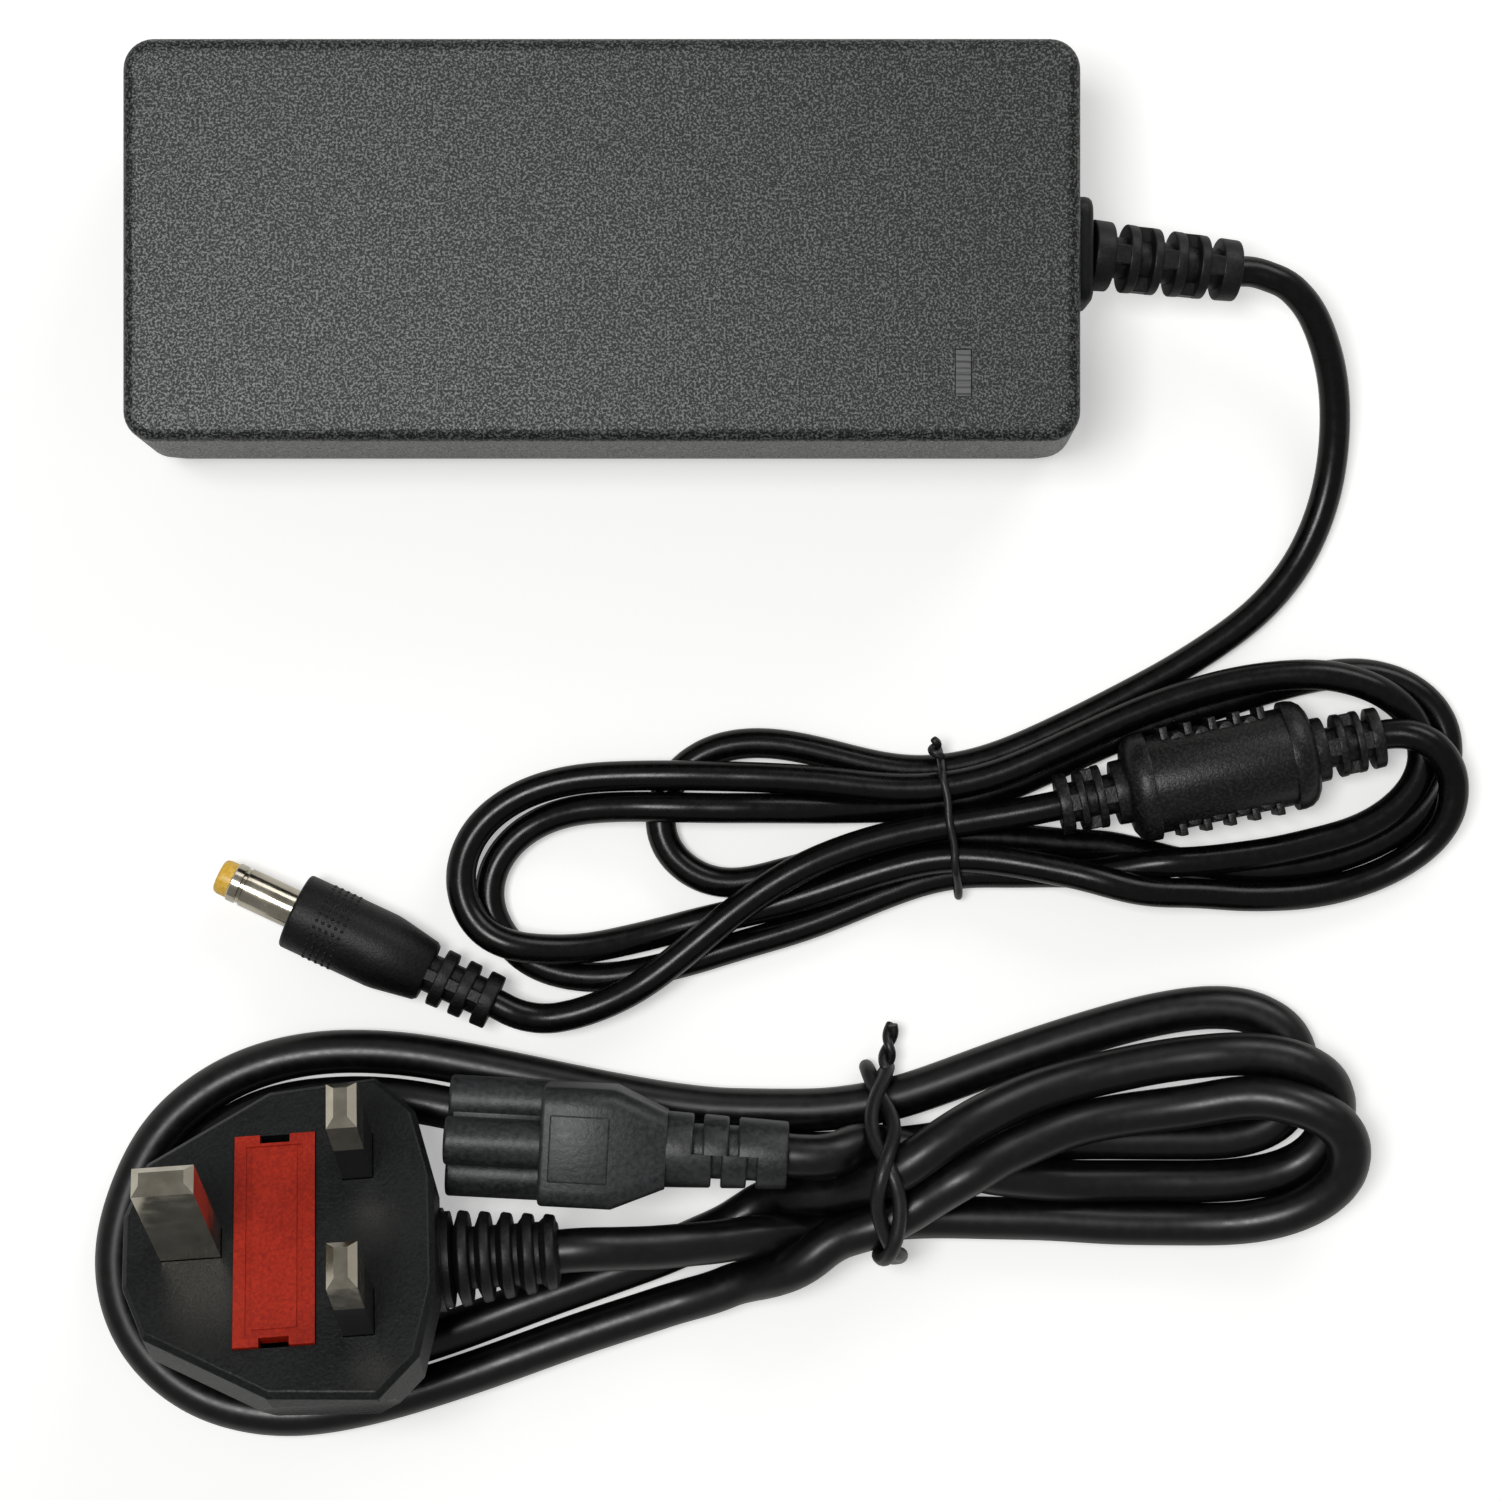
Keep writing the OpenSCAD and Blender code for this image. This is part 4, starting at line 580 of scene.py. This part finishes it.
def addLamp(name, settings):
    lamp = bpy.data.lights.new(name, "AREA")
    lamp.shape = "RECTANGLE"
    lamp.size, lamp.size_y = settings["size"]
    lamp.energy = settings["power"]
    holder = bpy.data.objects.new(name, lamp)
    holder.location = settings["place"]
    way = Vector(stage["aim"]) - Vector(settings["place"])
    holder.rotation_euler = way.to_track_quat("-Z", "Y").to_euler()
    bpy.context.scene.collection.objects.link(holder)


stageFloor()
stageWorld()
for lampName in ("topLamp", "sideLamp"):
    addLamp(lampName, stage[lampName])
print("stage set")


# Shared making

def claimPiece(piece, body, replaced):
    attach(piece, body)
    if replaced:
        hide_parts(*replaced)


def finishPiece(name, shape, material, body, replaced=(), smooth=35):
    # smooth is the angle in degrees up to which neighbouring faces shade as one
    mesh = bpy.data.meshes.new(name)
    bmesh.ops.remove_doubles(shape, verts=shape.verts, dist=0.002 * mm)
    bmesh.ops.recalc_face_normals(shape, faces=shape.faces)
    limit = math.radians(smooth)
    for face in shape.faces:
        face.smooth = True
    for edge in shape.edges:
        edge.smooth = edge.calc_face_angle(0) < limit
    shape.to_mesh(mesh)
    shape.free()
    piece = bpy.data.objects.new(name, mesh)
    bpy.context.scene.collection.objects.link(piece)
    mesh.materials.append(material)
    claimPiece(piece, body, replaced)
    return piece


def wirePiece(name, points, thickness, material, body, closed=False, replaced=(), rounding=5):
    # a round wire or cord on a smooth curve through the points, given in millimetres
    curve = bpy.data.curves.new(name, "CURVE")
    curve.dimensions = "3D"
    curve.bevel_depth = thickness / 2 * mm
    curve.bevel_resolution = rounding
    curve.resolution_u = 3
    curve.use_fill_caps = not closed
    spline = curve.splines.new("BEZIER")
    spline.bezier_points.add(len(points) - 1)
    for knot, point in zip(spline.bezier_points, points):
        knot.co = Vector(point[:3]) * mm
        knot.handle_left_type = knot.handle_right_type = "AUTO"
    spline.use_cyclic_u = closed
    piece = bpy.data.objects.new(name, curve)
    bpy.context.scene.collection.objects.link(piece)
    curve.materials.append(material)
    claimPiece(piece, body, replaced)
    return piece


outputCord = wirePiece(
    "output_cord", outputLine, outputCordSettings["thickness"], cordPvc, "adapter",
    replaced=("output_cord_run", "output_cord_hank", "bead_link_cord", "bead_inner_cord",
              "output_plug_cord"))
mainsCord = wirePiece(
    "mains_cord", mainsLine, mainsCordSettings["thickness"], mainsPvc, "mains_lead",
    replaced=("mains_plug_cord", "mains_cord_hank", "mains_socket_cord"), rounding=6)
print("cords made")


# Shaping helpers; shapes are drawn in millimetres along their own x axis
onAxisRadius = 0.001  # near enough to the axis for the points to merge into one


def turned(shape, profile, closed=False, steps=48):
    # a profile of (along, radius) turned round the x axis
    verts = [shape.verts.new((along, 0, radius)) for along, radius in profile]
    ends = list(zip(verts, verts[1:])) + ([(verts[-1], verts[0])] if closed else [])
    edges = [shape.edges.new(pair) for pair in ends]
    bmesh.ops.spin(shape, geom=verts + edges, cent=(0, 0, 0), axis=(1, 0, 0), angle=2 * math.pi,
                   steps=steps, use_merge=True)


def roundOff(along, radius, edge, alongWay, radiusWay, steps=4):
    # a quarter round at an outer corner, from the flat end towards the side
    turns = [math.radians(90 * k / steps) for k in range(steps + 1)]
    return [(along - alongWay * edge * (1 - math.cos(turn)),
             radius - radiusWay * edge * (1 - math.sin(turn))) for turn in turns]


def roundBar(shape, start, end, startRadius, endRadius, edge=0.3, steps=48):
    # a solid disc or cone with softened rims, closed to a point on its axis
    rear = roundOff(start, startRadius, edge, -1, 1)
    front = roundOff(end, endRadius, edge, 1, 1)
    turned(shape, [(start, onAxisRadius)] + rear + front[::-1] + [(end, onAxisRadius)], steps=steps)


def edgesOf(verts):
    return list(dict.fromkeys(edge for vert in verts for edge in vert.link_edges))


def softenEdges(shape, edges, reach, segments, clamp=False):
    # rounds the edges and gives back the vertices of the rounds
    return bmesh.ops.bevel(shape, geom=edges, offset=reach, offset_type="OFFSET", affect="EDGES",
                           segments=segments, profile=0.5, material=-1, clamp_overlap=clamp)["verts"]


def addBox(shape, centre, size):
    made = bmesh.ops.create_cube(shape, size=1)["verts"]
    bmesh.ops.transform(shape, verts=made, matrix=Matrix.Translation(centre) @ Matrix.Diagonal((*size, 1)))
    return made


def roundBlock(shape, low, high, edge=0.3, segments=2):
    low, high = Vector(low), Vector(high)
    softenEdges(shape, edgesOf(addBox(shape, (low + high) / 2, high - low)), edge, segments)


def addMoved(shape, matrix, make, *sizes):
    # makes something in the shape and moves only what it added
    old = set(shape.verts)
    make(shape, *sizes)
    bmesh.ops.transform(shape, verts=[v for v in shape.verts if v not in old], matrix=matrix)


def ladderRelief(shape, relief):
    # thin rings joined by pairs of short bridges, so that the moulding bends with the cord
    rings, core = relief["rings"], relief["core"] / 2
    length = rings[-1][1] - rings[0][0]
    roundBar(shape, rings[0][0], rings[-1][1] - 0.2, core, core, 0.2, 32)

    def radiusAt(along):
        share = (along - rings[0][0]) / length
        return (relief["base"] * (1 - share) + relief["tip"] * share) / 2

    for start, end in rings:
        roundBar(shape, start, end, radiusAt(start), radiusAt(end), relief["edge"])
    for number, ((before, start), (end, after)) in enumerate(zip(rings, rings[1:])):
        reach, half = radiusAt(end) - 0.15, relief["bridge"] / 2
        across = number % 2 == 1 and relief["turning"]
        y, z = (reach, half) if across else (half, reach)
        roundBlock(shape, (start - 0.4, -y, -z), (end + 0.4, y, z), 0.15, 1)  # sunk into both rings


def placeOn(shape, place):
    bmesh.ops.transform(shape, verts=shape.verts, matrix=Matrix.Scale(mm, 4) @ place)


def seatMatrix(seat):
    swing = Matrix.Rotation(math.radians(seat["swing"]), 4, "Z")
    dip = Matrix.Rotation(math.radians(seat["dip"]), 4, "Y")
    return Matrix.Translation(seat["origin"]) @ swing @ dip


# Output strain relief: chamfered flange on the case's end wall, collar, then the ladder
outputRelief = {
    "core": 5.6, "base": 9.6, "tip": 8.3, "bridge": 2.6, "edge": 0.3, "turning": True,
    "rings": [(-0.1, 2.7), (4.6, 6.2), (8, 9.4), (11.2, 12.8), (14.6, 16.1), (17.8, 20.6)],
    "wall": 63.5, "middle": 15.5, "flange": (2, 14.4, 13.6), "corner": 2.4, "chamfer": 1.1,
    "neck": ((60.4, -5.5, 10), (63.7, 5.5, 21)),
}
shape = bmesh.new()
ladderRelief(shape, outputRelief)
bmesh.ops.transform(shape, verts=shape.verts, matrix=seatMatrix(reliefSeat))
thick = outputRelief["flange"][0]
seated = (outputRelief["wall"] + thick / 2, 0, outputRelief["middle"])
flange = addBox(shape, seated, outputRelief["flange"])
corners = [e for e in edgesOf(flange) if abs(e.verts[0].co.x - e.verts[1].co.x) > thick / 2]
rounds = softenEdges(shape, corners, outputRelief["corner"], 5)
rim = [e for e in edgesOf(rounds) if all(v.co.x > outputRelief["wall"] + thick - 0.1 for v in e.verts)
       and any(f.normal.x < 0.5 for f in e.link_faces)]
softenEdges(shape, rim, outputRelief["chamfer"], 3)
roundBlock(shape, *outputRelief["neck"], 1)
placeOn(shape, Matrix.Identity(4))
reliefPiece = finishPiece(
    "output_relief", shape, reliefPvc, "adapter", ("output_strain_relief",))


# Ferrite bead: rounded overmould with a comb of teeth and round bosses down both sides; its round forms are
# turned at one radius and then drawn to their own width and height
bead = {
    "halfLength": 13.2, "turned": 7, "wide": 6.8, "high": 7, "round": 2.6,
    "shoulderWide": 7.6, "shoulderHigh": 7.02, "shoulderLength": 3.7,
    "pitch": 3.4, "teeth": 5, "toothWidth": 1.1, "toothHalfHeight": 3.4, "toothRoot": 4.6,
    "boss": 1.15, "bossHalfHeight": 3.7, "bossOut": 5.5,
}
beadRelief = {
    "core": 5.6, "base": 9, "tip": 8.4, "bridge": 2.4, "edge": 0.25, "turning": True,
    "rings": [(12.9, 14.9), (16.3, 17.5), (18.9, 20), (21, 22.7)],
}
shape = bmesh.new()
half, radius = bead["halfLength"], bead["turned"]
roundBar(shape, -half, half, radius, radius, bead["round"], 64)
bmesh.ops.transform(shape, verts=shape.verts, matrix=Matrix.Diagonal(
    (1, bead["wide"] / radius, bead["high"] / radius, 1)))
inner = half - bead["shoulderLength"]
shoulder = [(inner, onAxisRadius)] + roundOff(inner, radius, 0.2, -1, 1)
shoulder += roundOff(half, radius, bead["round"], 1, 1)[::-1] + [(half, onAxisRadius)]
for side in (-1, 1):
    stretch = Matrix.Diagonal((side, bead["shoulderWide"] / radius, bead["shoulderHigh"] / radius, 1))
    addMoved(shape, stretch, turned, shoulder, False, 64)
    low, high = sorted((side * bead["toothRoot"], side * bead["shoulderWide"]))
    for tooth in range(bead["teeth"]):
        x = (tooth - (bead["teeth"] - 1) / 2) * bead["pitch"]
        roundBlock(shape, (x - bead["toothWidth"] / 2, low, -bead["toothHalfHeight"]),
                   (x + bead["toothWidth"] / 2, high, bead["toothHalfHeight"]), 0.18, 2)
    for boss in range(bead["teeth"] - 1):
        x = (boss - (bead["teeth"] - 2) / 2) * bead["pitch"]
        seated = Matrix.Translation((x, side * bead["bossOut"], 0))
        upright = Matrix.Rotation(math.radians(90), 4, "Y")
        addMoved(shape, seated @ upright, roundBar, -bead["bossHalfHeight"], bead["bossHalfHeight"],
                 bead["boss"], bead["boss"], 0.35, 20)
ladderRelief(shape, beadRelief)
addMoved(shape, Matrix.Rotation(math.pi, 4, "Z"), ladderRelief, beadRelief)
placeOn(shape, seatMatrix(beadSeat))
beadPiece = finishPiece("ferrite_bead", shape, beadPvc, "adapter", ("ferrite_moulding",))


# Output plug: grip with a band of dimples, nickel barrel, yellow tip; the plug points along -x
grip = {"front": -31.4, "back": -11, "radius": 5.4, "backRadius": 4.3, "taper": 6, "mouth": 2.6,
        "dimples": 34, "dimpleColumns": 5, "dimpleStart": -27.6, "dimplePitch": 0.95,
        "dimpleRadius": 0.31, "dimpleSunk": 0.16}
gripRelief = {
    "core": 5.4, "base": 8.3, "tip": 7.8, "bridge": 1.7, "edge": 0.3, "turning": False,
    "rings": [(-12, -11), (-9.7, -7.8), (-6.4, -4.5), (-3.1, -0.9)],
}
shape = bmesh.new()
ladderRelief(shape, gripRelief)
front, back, radius = grip["front"], grip["back"], grip["radius"]
shoulderX = back - grip["taper"]
profile = [(front, grip["mouth"])] + roundOff(front, radius, 0.5, -1, 1)
profile += [(shoulderX - 1.2, radius), (shoulderX, radius - 0.12), (back - 0.5, grip["backRadius"] + 0.05),
            (back, grip["backRadius"] - 0.4), (back, onAxisRadius)]
turned(shape, profile, steps=64)
out = radius - grip["dimpleSunk"]
for column in range(grip["dimpleColumns"]):
    along = grip["dimpleStart"] + grip["dimplePitch"] * column
    for number in range(grip["dimples"]):
        around = 2 * math.pi * number / grip["dimples"]
        made = bmesh.ops.create_uvsphere(
            shape, u_segments=8, v_segments=5, radius=grip["dimpleRadius"])["verts"]
        bmesh.ops.translate(shape, verts=made, vec=(along, out * math.cos(around), out * math.sin(around)))
placeOn(shape, seatMatrix(gripSeat))
gripPiece = finishPiece(
    "output_grip", shape, gripPvc, "adapter", ("output_plug_grip",), smooth=40)

barrel = {"start": -31.6, "end": -40.9, "radius": 2.75, "bore": 1.9, "groove": -39.3, "grooveDepth": 0.22}
shape = bmesh.new()
start, end, radius, bore = (barrel[size] for size in ("start", "end", "radius", "bore"))
groove, sunk = barrel["groove"], radius - barrel["grooveDepth"]
turned(shape, [
    (start, bore), (start, radius), (groove + 0.45, radius), (groove + 0.3, sunk), (groove - 0.1, sunk),
    (groove - 0.25, radius), (end + 0.2, radius), (end, radius - 0.2), (end, bore)], closed=True, steps=64)
placeOn(shape, seatMatrix(gripSeat))
barrelPiece = finishPiece(
    "output_barrel", shape, nickel, "adapter", ("output_plug_barrel",), smooth=25)

tip = {"start": -40.8, "end": -42.9, "radius": 2.5, "bore": 1.36, "liner": 1.85, "linerStart": -31.6}
shape = bmesh.new()
start, end, radius, bore = (tip[size] for size in ("start", "end", "radius", "bore"))
turned(shape, [
    (tip["linerStart"], bore), (tip["linerStart"], tip["liner"]), (start, tip["liner"]), (start, radius),
    (end + 0.75, radius), (end + 0.25, radius - 0.15), (end, radius - 0.5), (end, bore + 0.25),
    (end + 0.25, bore)], closed=True, steps=64)
placeOn(shape, seatMatrix(gripSeat))
tipPiece = finishPiece(
    "output_tip", shape, tipNylon, "adapter", ("output_plug_insulator",), smooth=25)
print("output pieces made")


# Cord ties

def roundBundle(line, x, reach, count):
    # evenly spaced points, tight round every strand that crosses the plane at x
    before, after = line[:-1], line[1:]
    crosses = (before[:, 0] - x) * (after[:, 0] - x) <= 0
    before, after = before[crosses], after[crosses]
    share = ((x - before[:, 0]) / (after[:, 0] - before[:, 0]))[:, None]
    strands = (before + share * (after - before))[:, 1:]
    turns = np.linspace(0, 2 * np.pi, 361)
    ways = np.column_stack([np.cos(turns), np.sin(turns)])
    loop = strands[np.argmax(ways @ strands.T, axis=1)] + ways * reach
    run = np.r_[0, np.cumsum(np.linalg.norm(np.diff(loop, axis=0), axis=1))]
    even = np.linspace(0, run[-1], count, endpoint=False)
    return np.column_stack([np.interp(even, run, column) for column in loop.T])


# one turn of thin coated wire, its two ends twisted together above the bundle
outputTie = {"x": 47, "lean": 0.14, "wave": 0.12, "wire": 1.1, "lowest": 0.56,
             "endWire": 1, "twist": 1.3, "wide": 0.62, "endSteps": 7, "knotHeight": 5.2, "knotIn": 1.4}
reach = outputCordSettings["thickness"] / 2 + 0.6 * outputTie["wire"]
loop = roundBundle(outputLine, outputTie["x"], reach, 40)
middle, topY = loop[:, 0].mean(), loop[:, 0].max()
points = []
for y, z in loop:
    x = outputTie["x"] - outputTie["lean"] * (y - middle) + outputTie["wave"] * math.sin(y)
    points.append((x, y, max(z, outputTie["lowest"])))
tieLoop = wirePiece("output_tie", points, outputTie["wire"], tiePvc, "adapter", closed=True,
                    replaced=("output_cord_tie",))
knotX = outputTie["x"] - outputTie["lean"] * (topY - middle)
half = outputTie["endSteps"]
points = []
for number in range(2 * half + 1):
    around = 2 * math.pi * outputTie["twist"] * number / half
    wide = outputTie["wide"]
    side = 1 if number < half else -1  # out along one end of the wire, back along the other
    step = min(number, 2 * half - number)
    points.append((knotX + wide * math.cos(around) * side - 0.12 * step,
                   topY - outputTie["knotIn"] + 0.36 * step,
                   outputTie["knotHeight"] + wide * math.sin(around) + 0.1 * step))
tieEnds = wirePiece("output_tie_ends", points, outputTie["endWire"], tiePvc, "adapter")

# two thicker wires wound loosely round each other and the bundle, with a twisted tail
mainsTie = {"x": 38, "lean": 0.06, "wire": 2, "turns": 3, "wide": 1.5, "points": 64, "lowest": 1.1,
            "tail": 7.5, "tailWire": 1.3, "tailTurns": 1.2, "tailSteps": 8, "tailWide": 0.7,
            "tailLowest": 0.8}


def tieStrand(loop, start):
    centre = loop.mean(axis=0)
    points = []
    for number, (y, z) in enumerate(loop):
        around = start + 2 * math.pi * mainsTie["turns"] * number / len(loop)
        out = np.array([y, z]) - centre
        y, z = np.array([y, z]) + out / np.linalg.norm(out) * 0.55 * (1 + math.sin(around))
        x = mainsTie["x"] + mainsTie["wide"] * math.cos(around) - mainsTie["lean"] * (y - centre[0])
        points.append((x, y, max(z, mainsTie["lowest"])))
    return points


def tieTail(rootY, rootZ, start):
    points = []
    for number in range(mainsTie["tailSteps"] + 1):
        share = number / mainsTie["tailSteps"]
        around = start + 2 * math.pi * mainsTie["tailTurns"] * share
        x = mainsTie["x"] + mainsTie["tailWide"] * math.cos(around) * (1 - 0.4 * share) + 1.2 * share
        z = rootZ + 1.2 + mainsTie["tailWide"] * math.sin(around) - 1.6 * share
        points.append((x, rootY - 1.5 + mainsTie["tail"] * share, max(z, mainsTie["tailLowest"])))
    return points


reach = mainsCordSettings["thickness"] / 2 + 0.55 * mainsTie["wire"]
loop = roundBundle(mainsLine, mainsTie["x"], reach, mainsTie["points"])
tieStrands = [tieStrand(loop, start) for start in (0, math.pi)]
mainsTieFirst = wirePiece("mains_tie", tieStrands[0], mainsTie["wire"], tiePvc, "mains_lead",
                          closed=True, replaced=("mains_cord_tie",))
mainsTieSecond = wirePiece("mains_tie_partner", tieStrands[1], mainsTie["wire"], tiePvc, "mains_lead",
                           closed=True)
rootY, rootZ = max(tieStrands[0], key=lambda point: point[1])[1:]
for number, start in ((1, 0), (2, math.pi)):
    wirePiece("mains_tie_tail_%d" % number, tieTail(rootY, rootZ, start), mainsTie["tailWire"],
                           tiePvc, "mains_lead")
print("ties made")


# Mains connector: three-lobed nose, tapered housing with a raised pad
connector = {
    "nose": 13, "lobe": 3.3, "bore": 1.83, "contacts": ((-5, -3.25), (5, -3.25), (0, 3.25)),
    "webs": (((0.6, -4.9, -6.3), (13.4, 4.9, -0.3)), ((0.6, -2.6, -1), (13.4, 2.6, 3.2))),
    "straight": 10, "length": 17, "wide": 16.2, "high": 14.2, "end": 10.4, "round": 2.6, "rim": 0.6,
    "pad": ((14.2, -4.6, 6.6), (22.4, 4.6, 7.25)),
}
shape = bmesh.new()
nose, lobe, bore = connector["nose"], connector["lobe"], connector["bore"]
contactLobe = [(nose + 0.5, onAxisRadius), (1.5, onAxisRadius), (1.5, bore), (0.25, bore), (0, bore + 0.25)]
contactLobe += roundOff(0, lobe, 0.5, -1, 1) + [(nose + 0.5, lobe)]
for y, z in connector["contacts"]:
    addMoved(shape, Matrix.Translation((0, y, z)), turned, contactLobe, False, 40)
for low, high in connector["webs"]:
    roundBlock(shape, low, high, 0.3)
straight, wide, high = connector["straight"], connector["wide"], connector["high"]
housing = addBox(shape, (nose + straight / 2, 0, 0), (straight, wide, high))
back = max((f for v in housing for f in v.link_faces), key=lambda f: f.calc_center_median().x)
grown = bmesh.ops.extrude_face_region(shape, geom=[back])
endVerts = [v for v in grown["geom"] if isinstance(v, bmesh.types.BMVert)]
bmesh.ops.delete(shape, geom=[back], context="FACES")
bmesh.ops.translate(shape, verts=endVerts, vec=(connector["length"] - straight, 0, 0))
bmesh.ops.scale(shape, verts=endVerts, vec=(1, connector["end"] / wide, connector["end"] / high))
longEdges = [e for e in edgesOf(list(housing) + endVerts) if abs(e.verts[0].co.x - e.verts[1].co.x) > 1]
softenEdges(shape, longEdges, connector["round"], 5)
rims = [e for e in shape.edges
        if all(abs(v.co.x - nose) < 0.01 and max(abs(v.co.y), abs(v.co.z)) > 6.9 for v in e.verts)]
softenEdges(shape, rims, connector["rim"], 3)
roundBlock(shape, *connector["pad"], 0.35, 3)
placeOn(shape, seatMatrix(connectorSeat))
connectorPiece = finishPiece(
    "mains_connector", shape, connectorPvc, "mains_lead", ("mains_socket",))


def halfBar(shape, side, low, high, lowRadius, highRadius):
    # a round bar of which only one side is kept, closed along its middle
    old = set(shape.verts)
    roundBar(shape, low, high, lowRadius, highRadius, 0.35)
    new = [v for v in shape.verts if v not in old]
    parts = new + edgesOf(new) + list(dict.fromkeys(f for v in new for f in v.link_faces))
    cut = bmesh.ops.bisect_plane(shape, geom=parts, plane_co=(0, 0, 0), plane_no=(0, -side, 0),
                                 clear_outer=True)
    rim = [e for e in cut["geom_cut"] if isinstance(e, bmesh.types.BMEdge)]
    bmesh.ops.holes_fill(shape, edges=rim, sides=0)


# Connector relief: a tapered bar with staggered half slots, so each side is the bars between its own slots
slotted = {"start": 29.6, "end": 46.5, "base": 10.4, "tip": 9.2, "core": 7.4, "slots": {
    1: (33.6, 34.9, 38.4, 39.7), -1: (36.2, 37.5, 41, 42.3)}}
shape = bmesh.new()
start, end, core = slotted["start"], slotted["end"], slotted["core"] / 2
roundBar(shape, start, end - 0.3, core, core, 0.3, 32)
slope = (slotted["base"] - slotted["tip"]) / (end - start)
for side in (-1, 1):
    cuts = (start, *slotted["slots"][side], end)
    for low, high in zip(cuts[::2], cuts[1::2]):
        lowRadius, highRadius = ((slotted["base"] - slope * (x - start)) / 2 for x in (low, high))
        halfBar(shape, side, low, high, lowRadius, highRadius)
placeOn(shape, seatMatrix(connectorSeat))
connectorReliefPiece = finishPiece(
    "mains_connector_relief", shape, connectorPvc, "mains_lead",
    ("mains_socket_relief",))
print("connector made")


def plugMatrix():
    # the plug's own axes: along its face away from the earth pin, across it, and out of it
    tilt, turn = math.radians(plugSeat["tilt"]), math.radians(plugSeat["turn"])
    along = Vector((math.cos(turn), math.sin(turn), 0))
    across = Vector((-math.sin(turn) * math.cos(tilt), math.cos(turn) * math.cos(tilt), -math.sin(tilt)))
    axes = Matrix((along, across, along.cross(across))).transposed().to_4x4()
    return Matrix.Translation(onPlug(0, 0, 0)) @ axes


# Mains plug relief: five thin fins, smaller towards the cord
fins = {"start": 21.2, "collar": 22.6, "pitch": 2.9, "thick": 1.5, "count": 5, "base": 6.5, "tip": 5.2,
        "core": 4.2, "end": 36.965}
shape = bmesh.new()
profile = [(fins["start"], onAxisRadius), (fins["start"], fins["base"]),
           (fins["collar"] - 0.2, fins["base"])]
for number in range(fins["count"]):
    start = fins["collar"] + 0.9 + number * fins["pitch"]
    end = start + fins["thick"]
    radius = fins["base"] + (fins["tip"] - fins["base"]) * number / (fins["count"] - 1)
    profile += [(start - 0.7, fins["core"])] + roundOff(start, radius, 0.4, -1, 1)
    profile += roundOff(end, radius - 0.15, 0.4, 1, 1)[::-1] + [(end + 0.1, fins["core"])]
profile += [(fins["end"] - 0.065, fins["core"] - 0.3), (fins["end"], onAxisRadius)]
turned(shape, profile, steps=64)
placeOn(shape, plugMatrix() @ Matrix.Translation((0, 0, -plugSeat["leadDrop"])))
finPiece = finishPiece(
    "mains_plug_fins", shape, reliefPvc, "mains_lead", ("mains_plug_relief",))


# Mains plug body: the CAD shape with its outside edges softened, as the mould leaves them
plugShell = {"merge": 0.001, "flat": 1, "outside": 0.03, "ridge": 12, "round": 0.9, "segments": 4,
             "flatArea": 5}
shape = bmesh.new()
shape.from_mesh(nodes["mains_plug_body"].data)
bmesh.ops.remove_doubles(shape, verts=shape.verts, dist=plugShell["merge"] * mm)
bmesh.ops.dissolve_limit(shape, angle_limit=math.radians(plugShell["flat"]), verts=shape.verts,
                         edges=shape.edges)
corners = [vert.co.copy() for vert in shape.verts]
outside = {face for face in shape.faces if plugShell["outside"] * mm > max(
    (corner - face.verts[0].co).dot(face.normal) for corner in corners)}
ridges = [edge for edge in shape.edges if all(face in outside for face in edge.link_faces)
          and edge.calc_face_angle(0) > math.radians(plugShell["ridge"])]
softenEdges(shape, ridges, plugShell["round"] * mm, plugShell["segments"], clamp=True)
plugPiece = finishPiece(
    "mains_plug_shell", shape, plugPvc, "mains_lead", ("mains_plug_body",))
for face in plugPiece.data.polygons:
    face.use_smooth = face.area < plugShell["flatArea"] * mm ** 2  # the flats stay flat between the rounds
print("mains pieces made")


# CAD nodes that keep their shape
nodeFinish = {
    "top_cover": caseAbs, "bottom_cover": caseAbs, "indicator_window": windowGrey,
    "indicator_led": windowGrey, "ac_inlet": inletNylon, "inlet_pins": nickel, "circuit_board": boardMask,
    "input_fuse": dippedBrown, "inrush_thermistor": dippedGreen, "x_capacitor": filmBox,
    "choke_core": ferrite, "choke_windings": copperWire, "bridge_rectifier": epoxy,
    "bulk_capacitor": blueSleeve, "switching_transistor": epoxy, "primary_heatsink": aluminium,
    "transformer_core": ferrite, "transformer_winding": windingTape, "y_capacitor": dippedBlue,
    "optocoupler": whitePolyester, "controller_chip": epoxy, "output_rectifier": epoxy,
    "secondary_heatsink": aluminium, "output_capacitors": violetSleeve, "output_choke": ferrite,
    "output_wires": redWire, "heat_spreader": aluminium, "thermal_pad": siliconePad,
    "insulating_sheet": polyesterSheet, "ferrite_core": ferrite, "output_plug_contact": springBrass,
    "earth_pin": nickel, "live_pin": nickel, "neutral_pin": nickel, "pin_sleeves": sleeveNylon,
    "fuse_clips": springBrass, "socket_contacts": springBrass, "fuse_carrier": carrierNylon,
    "fuse_tube": fuseCeramic, "fuse_caps": nickel,
}
for name, material in nodeFinish.items():
    slots = nodes[name].data.materials
    slots.clear()
    slots.append(material)
print("CAD nodes finished")
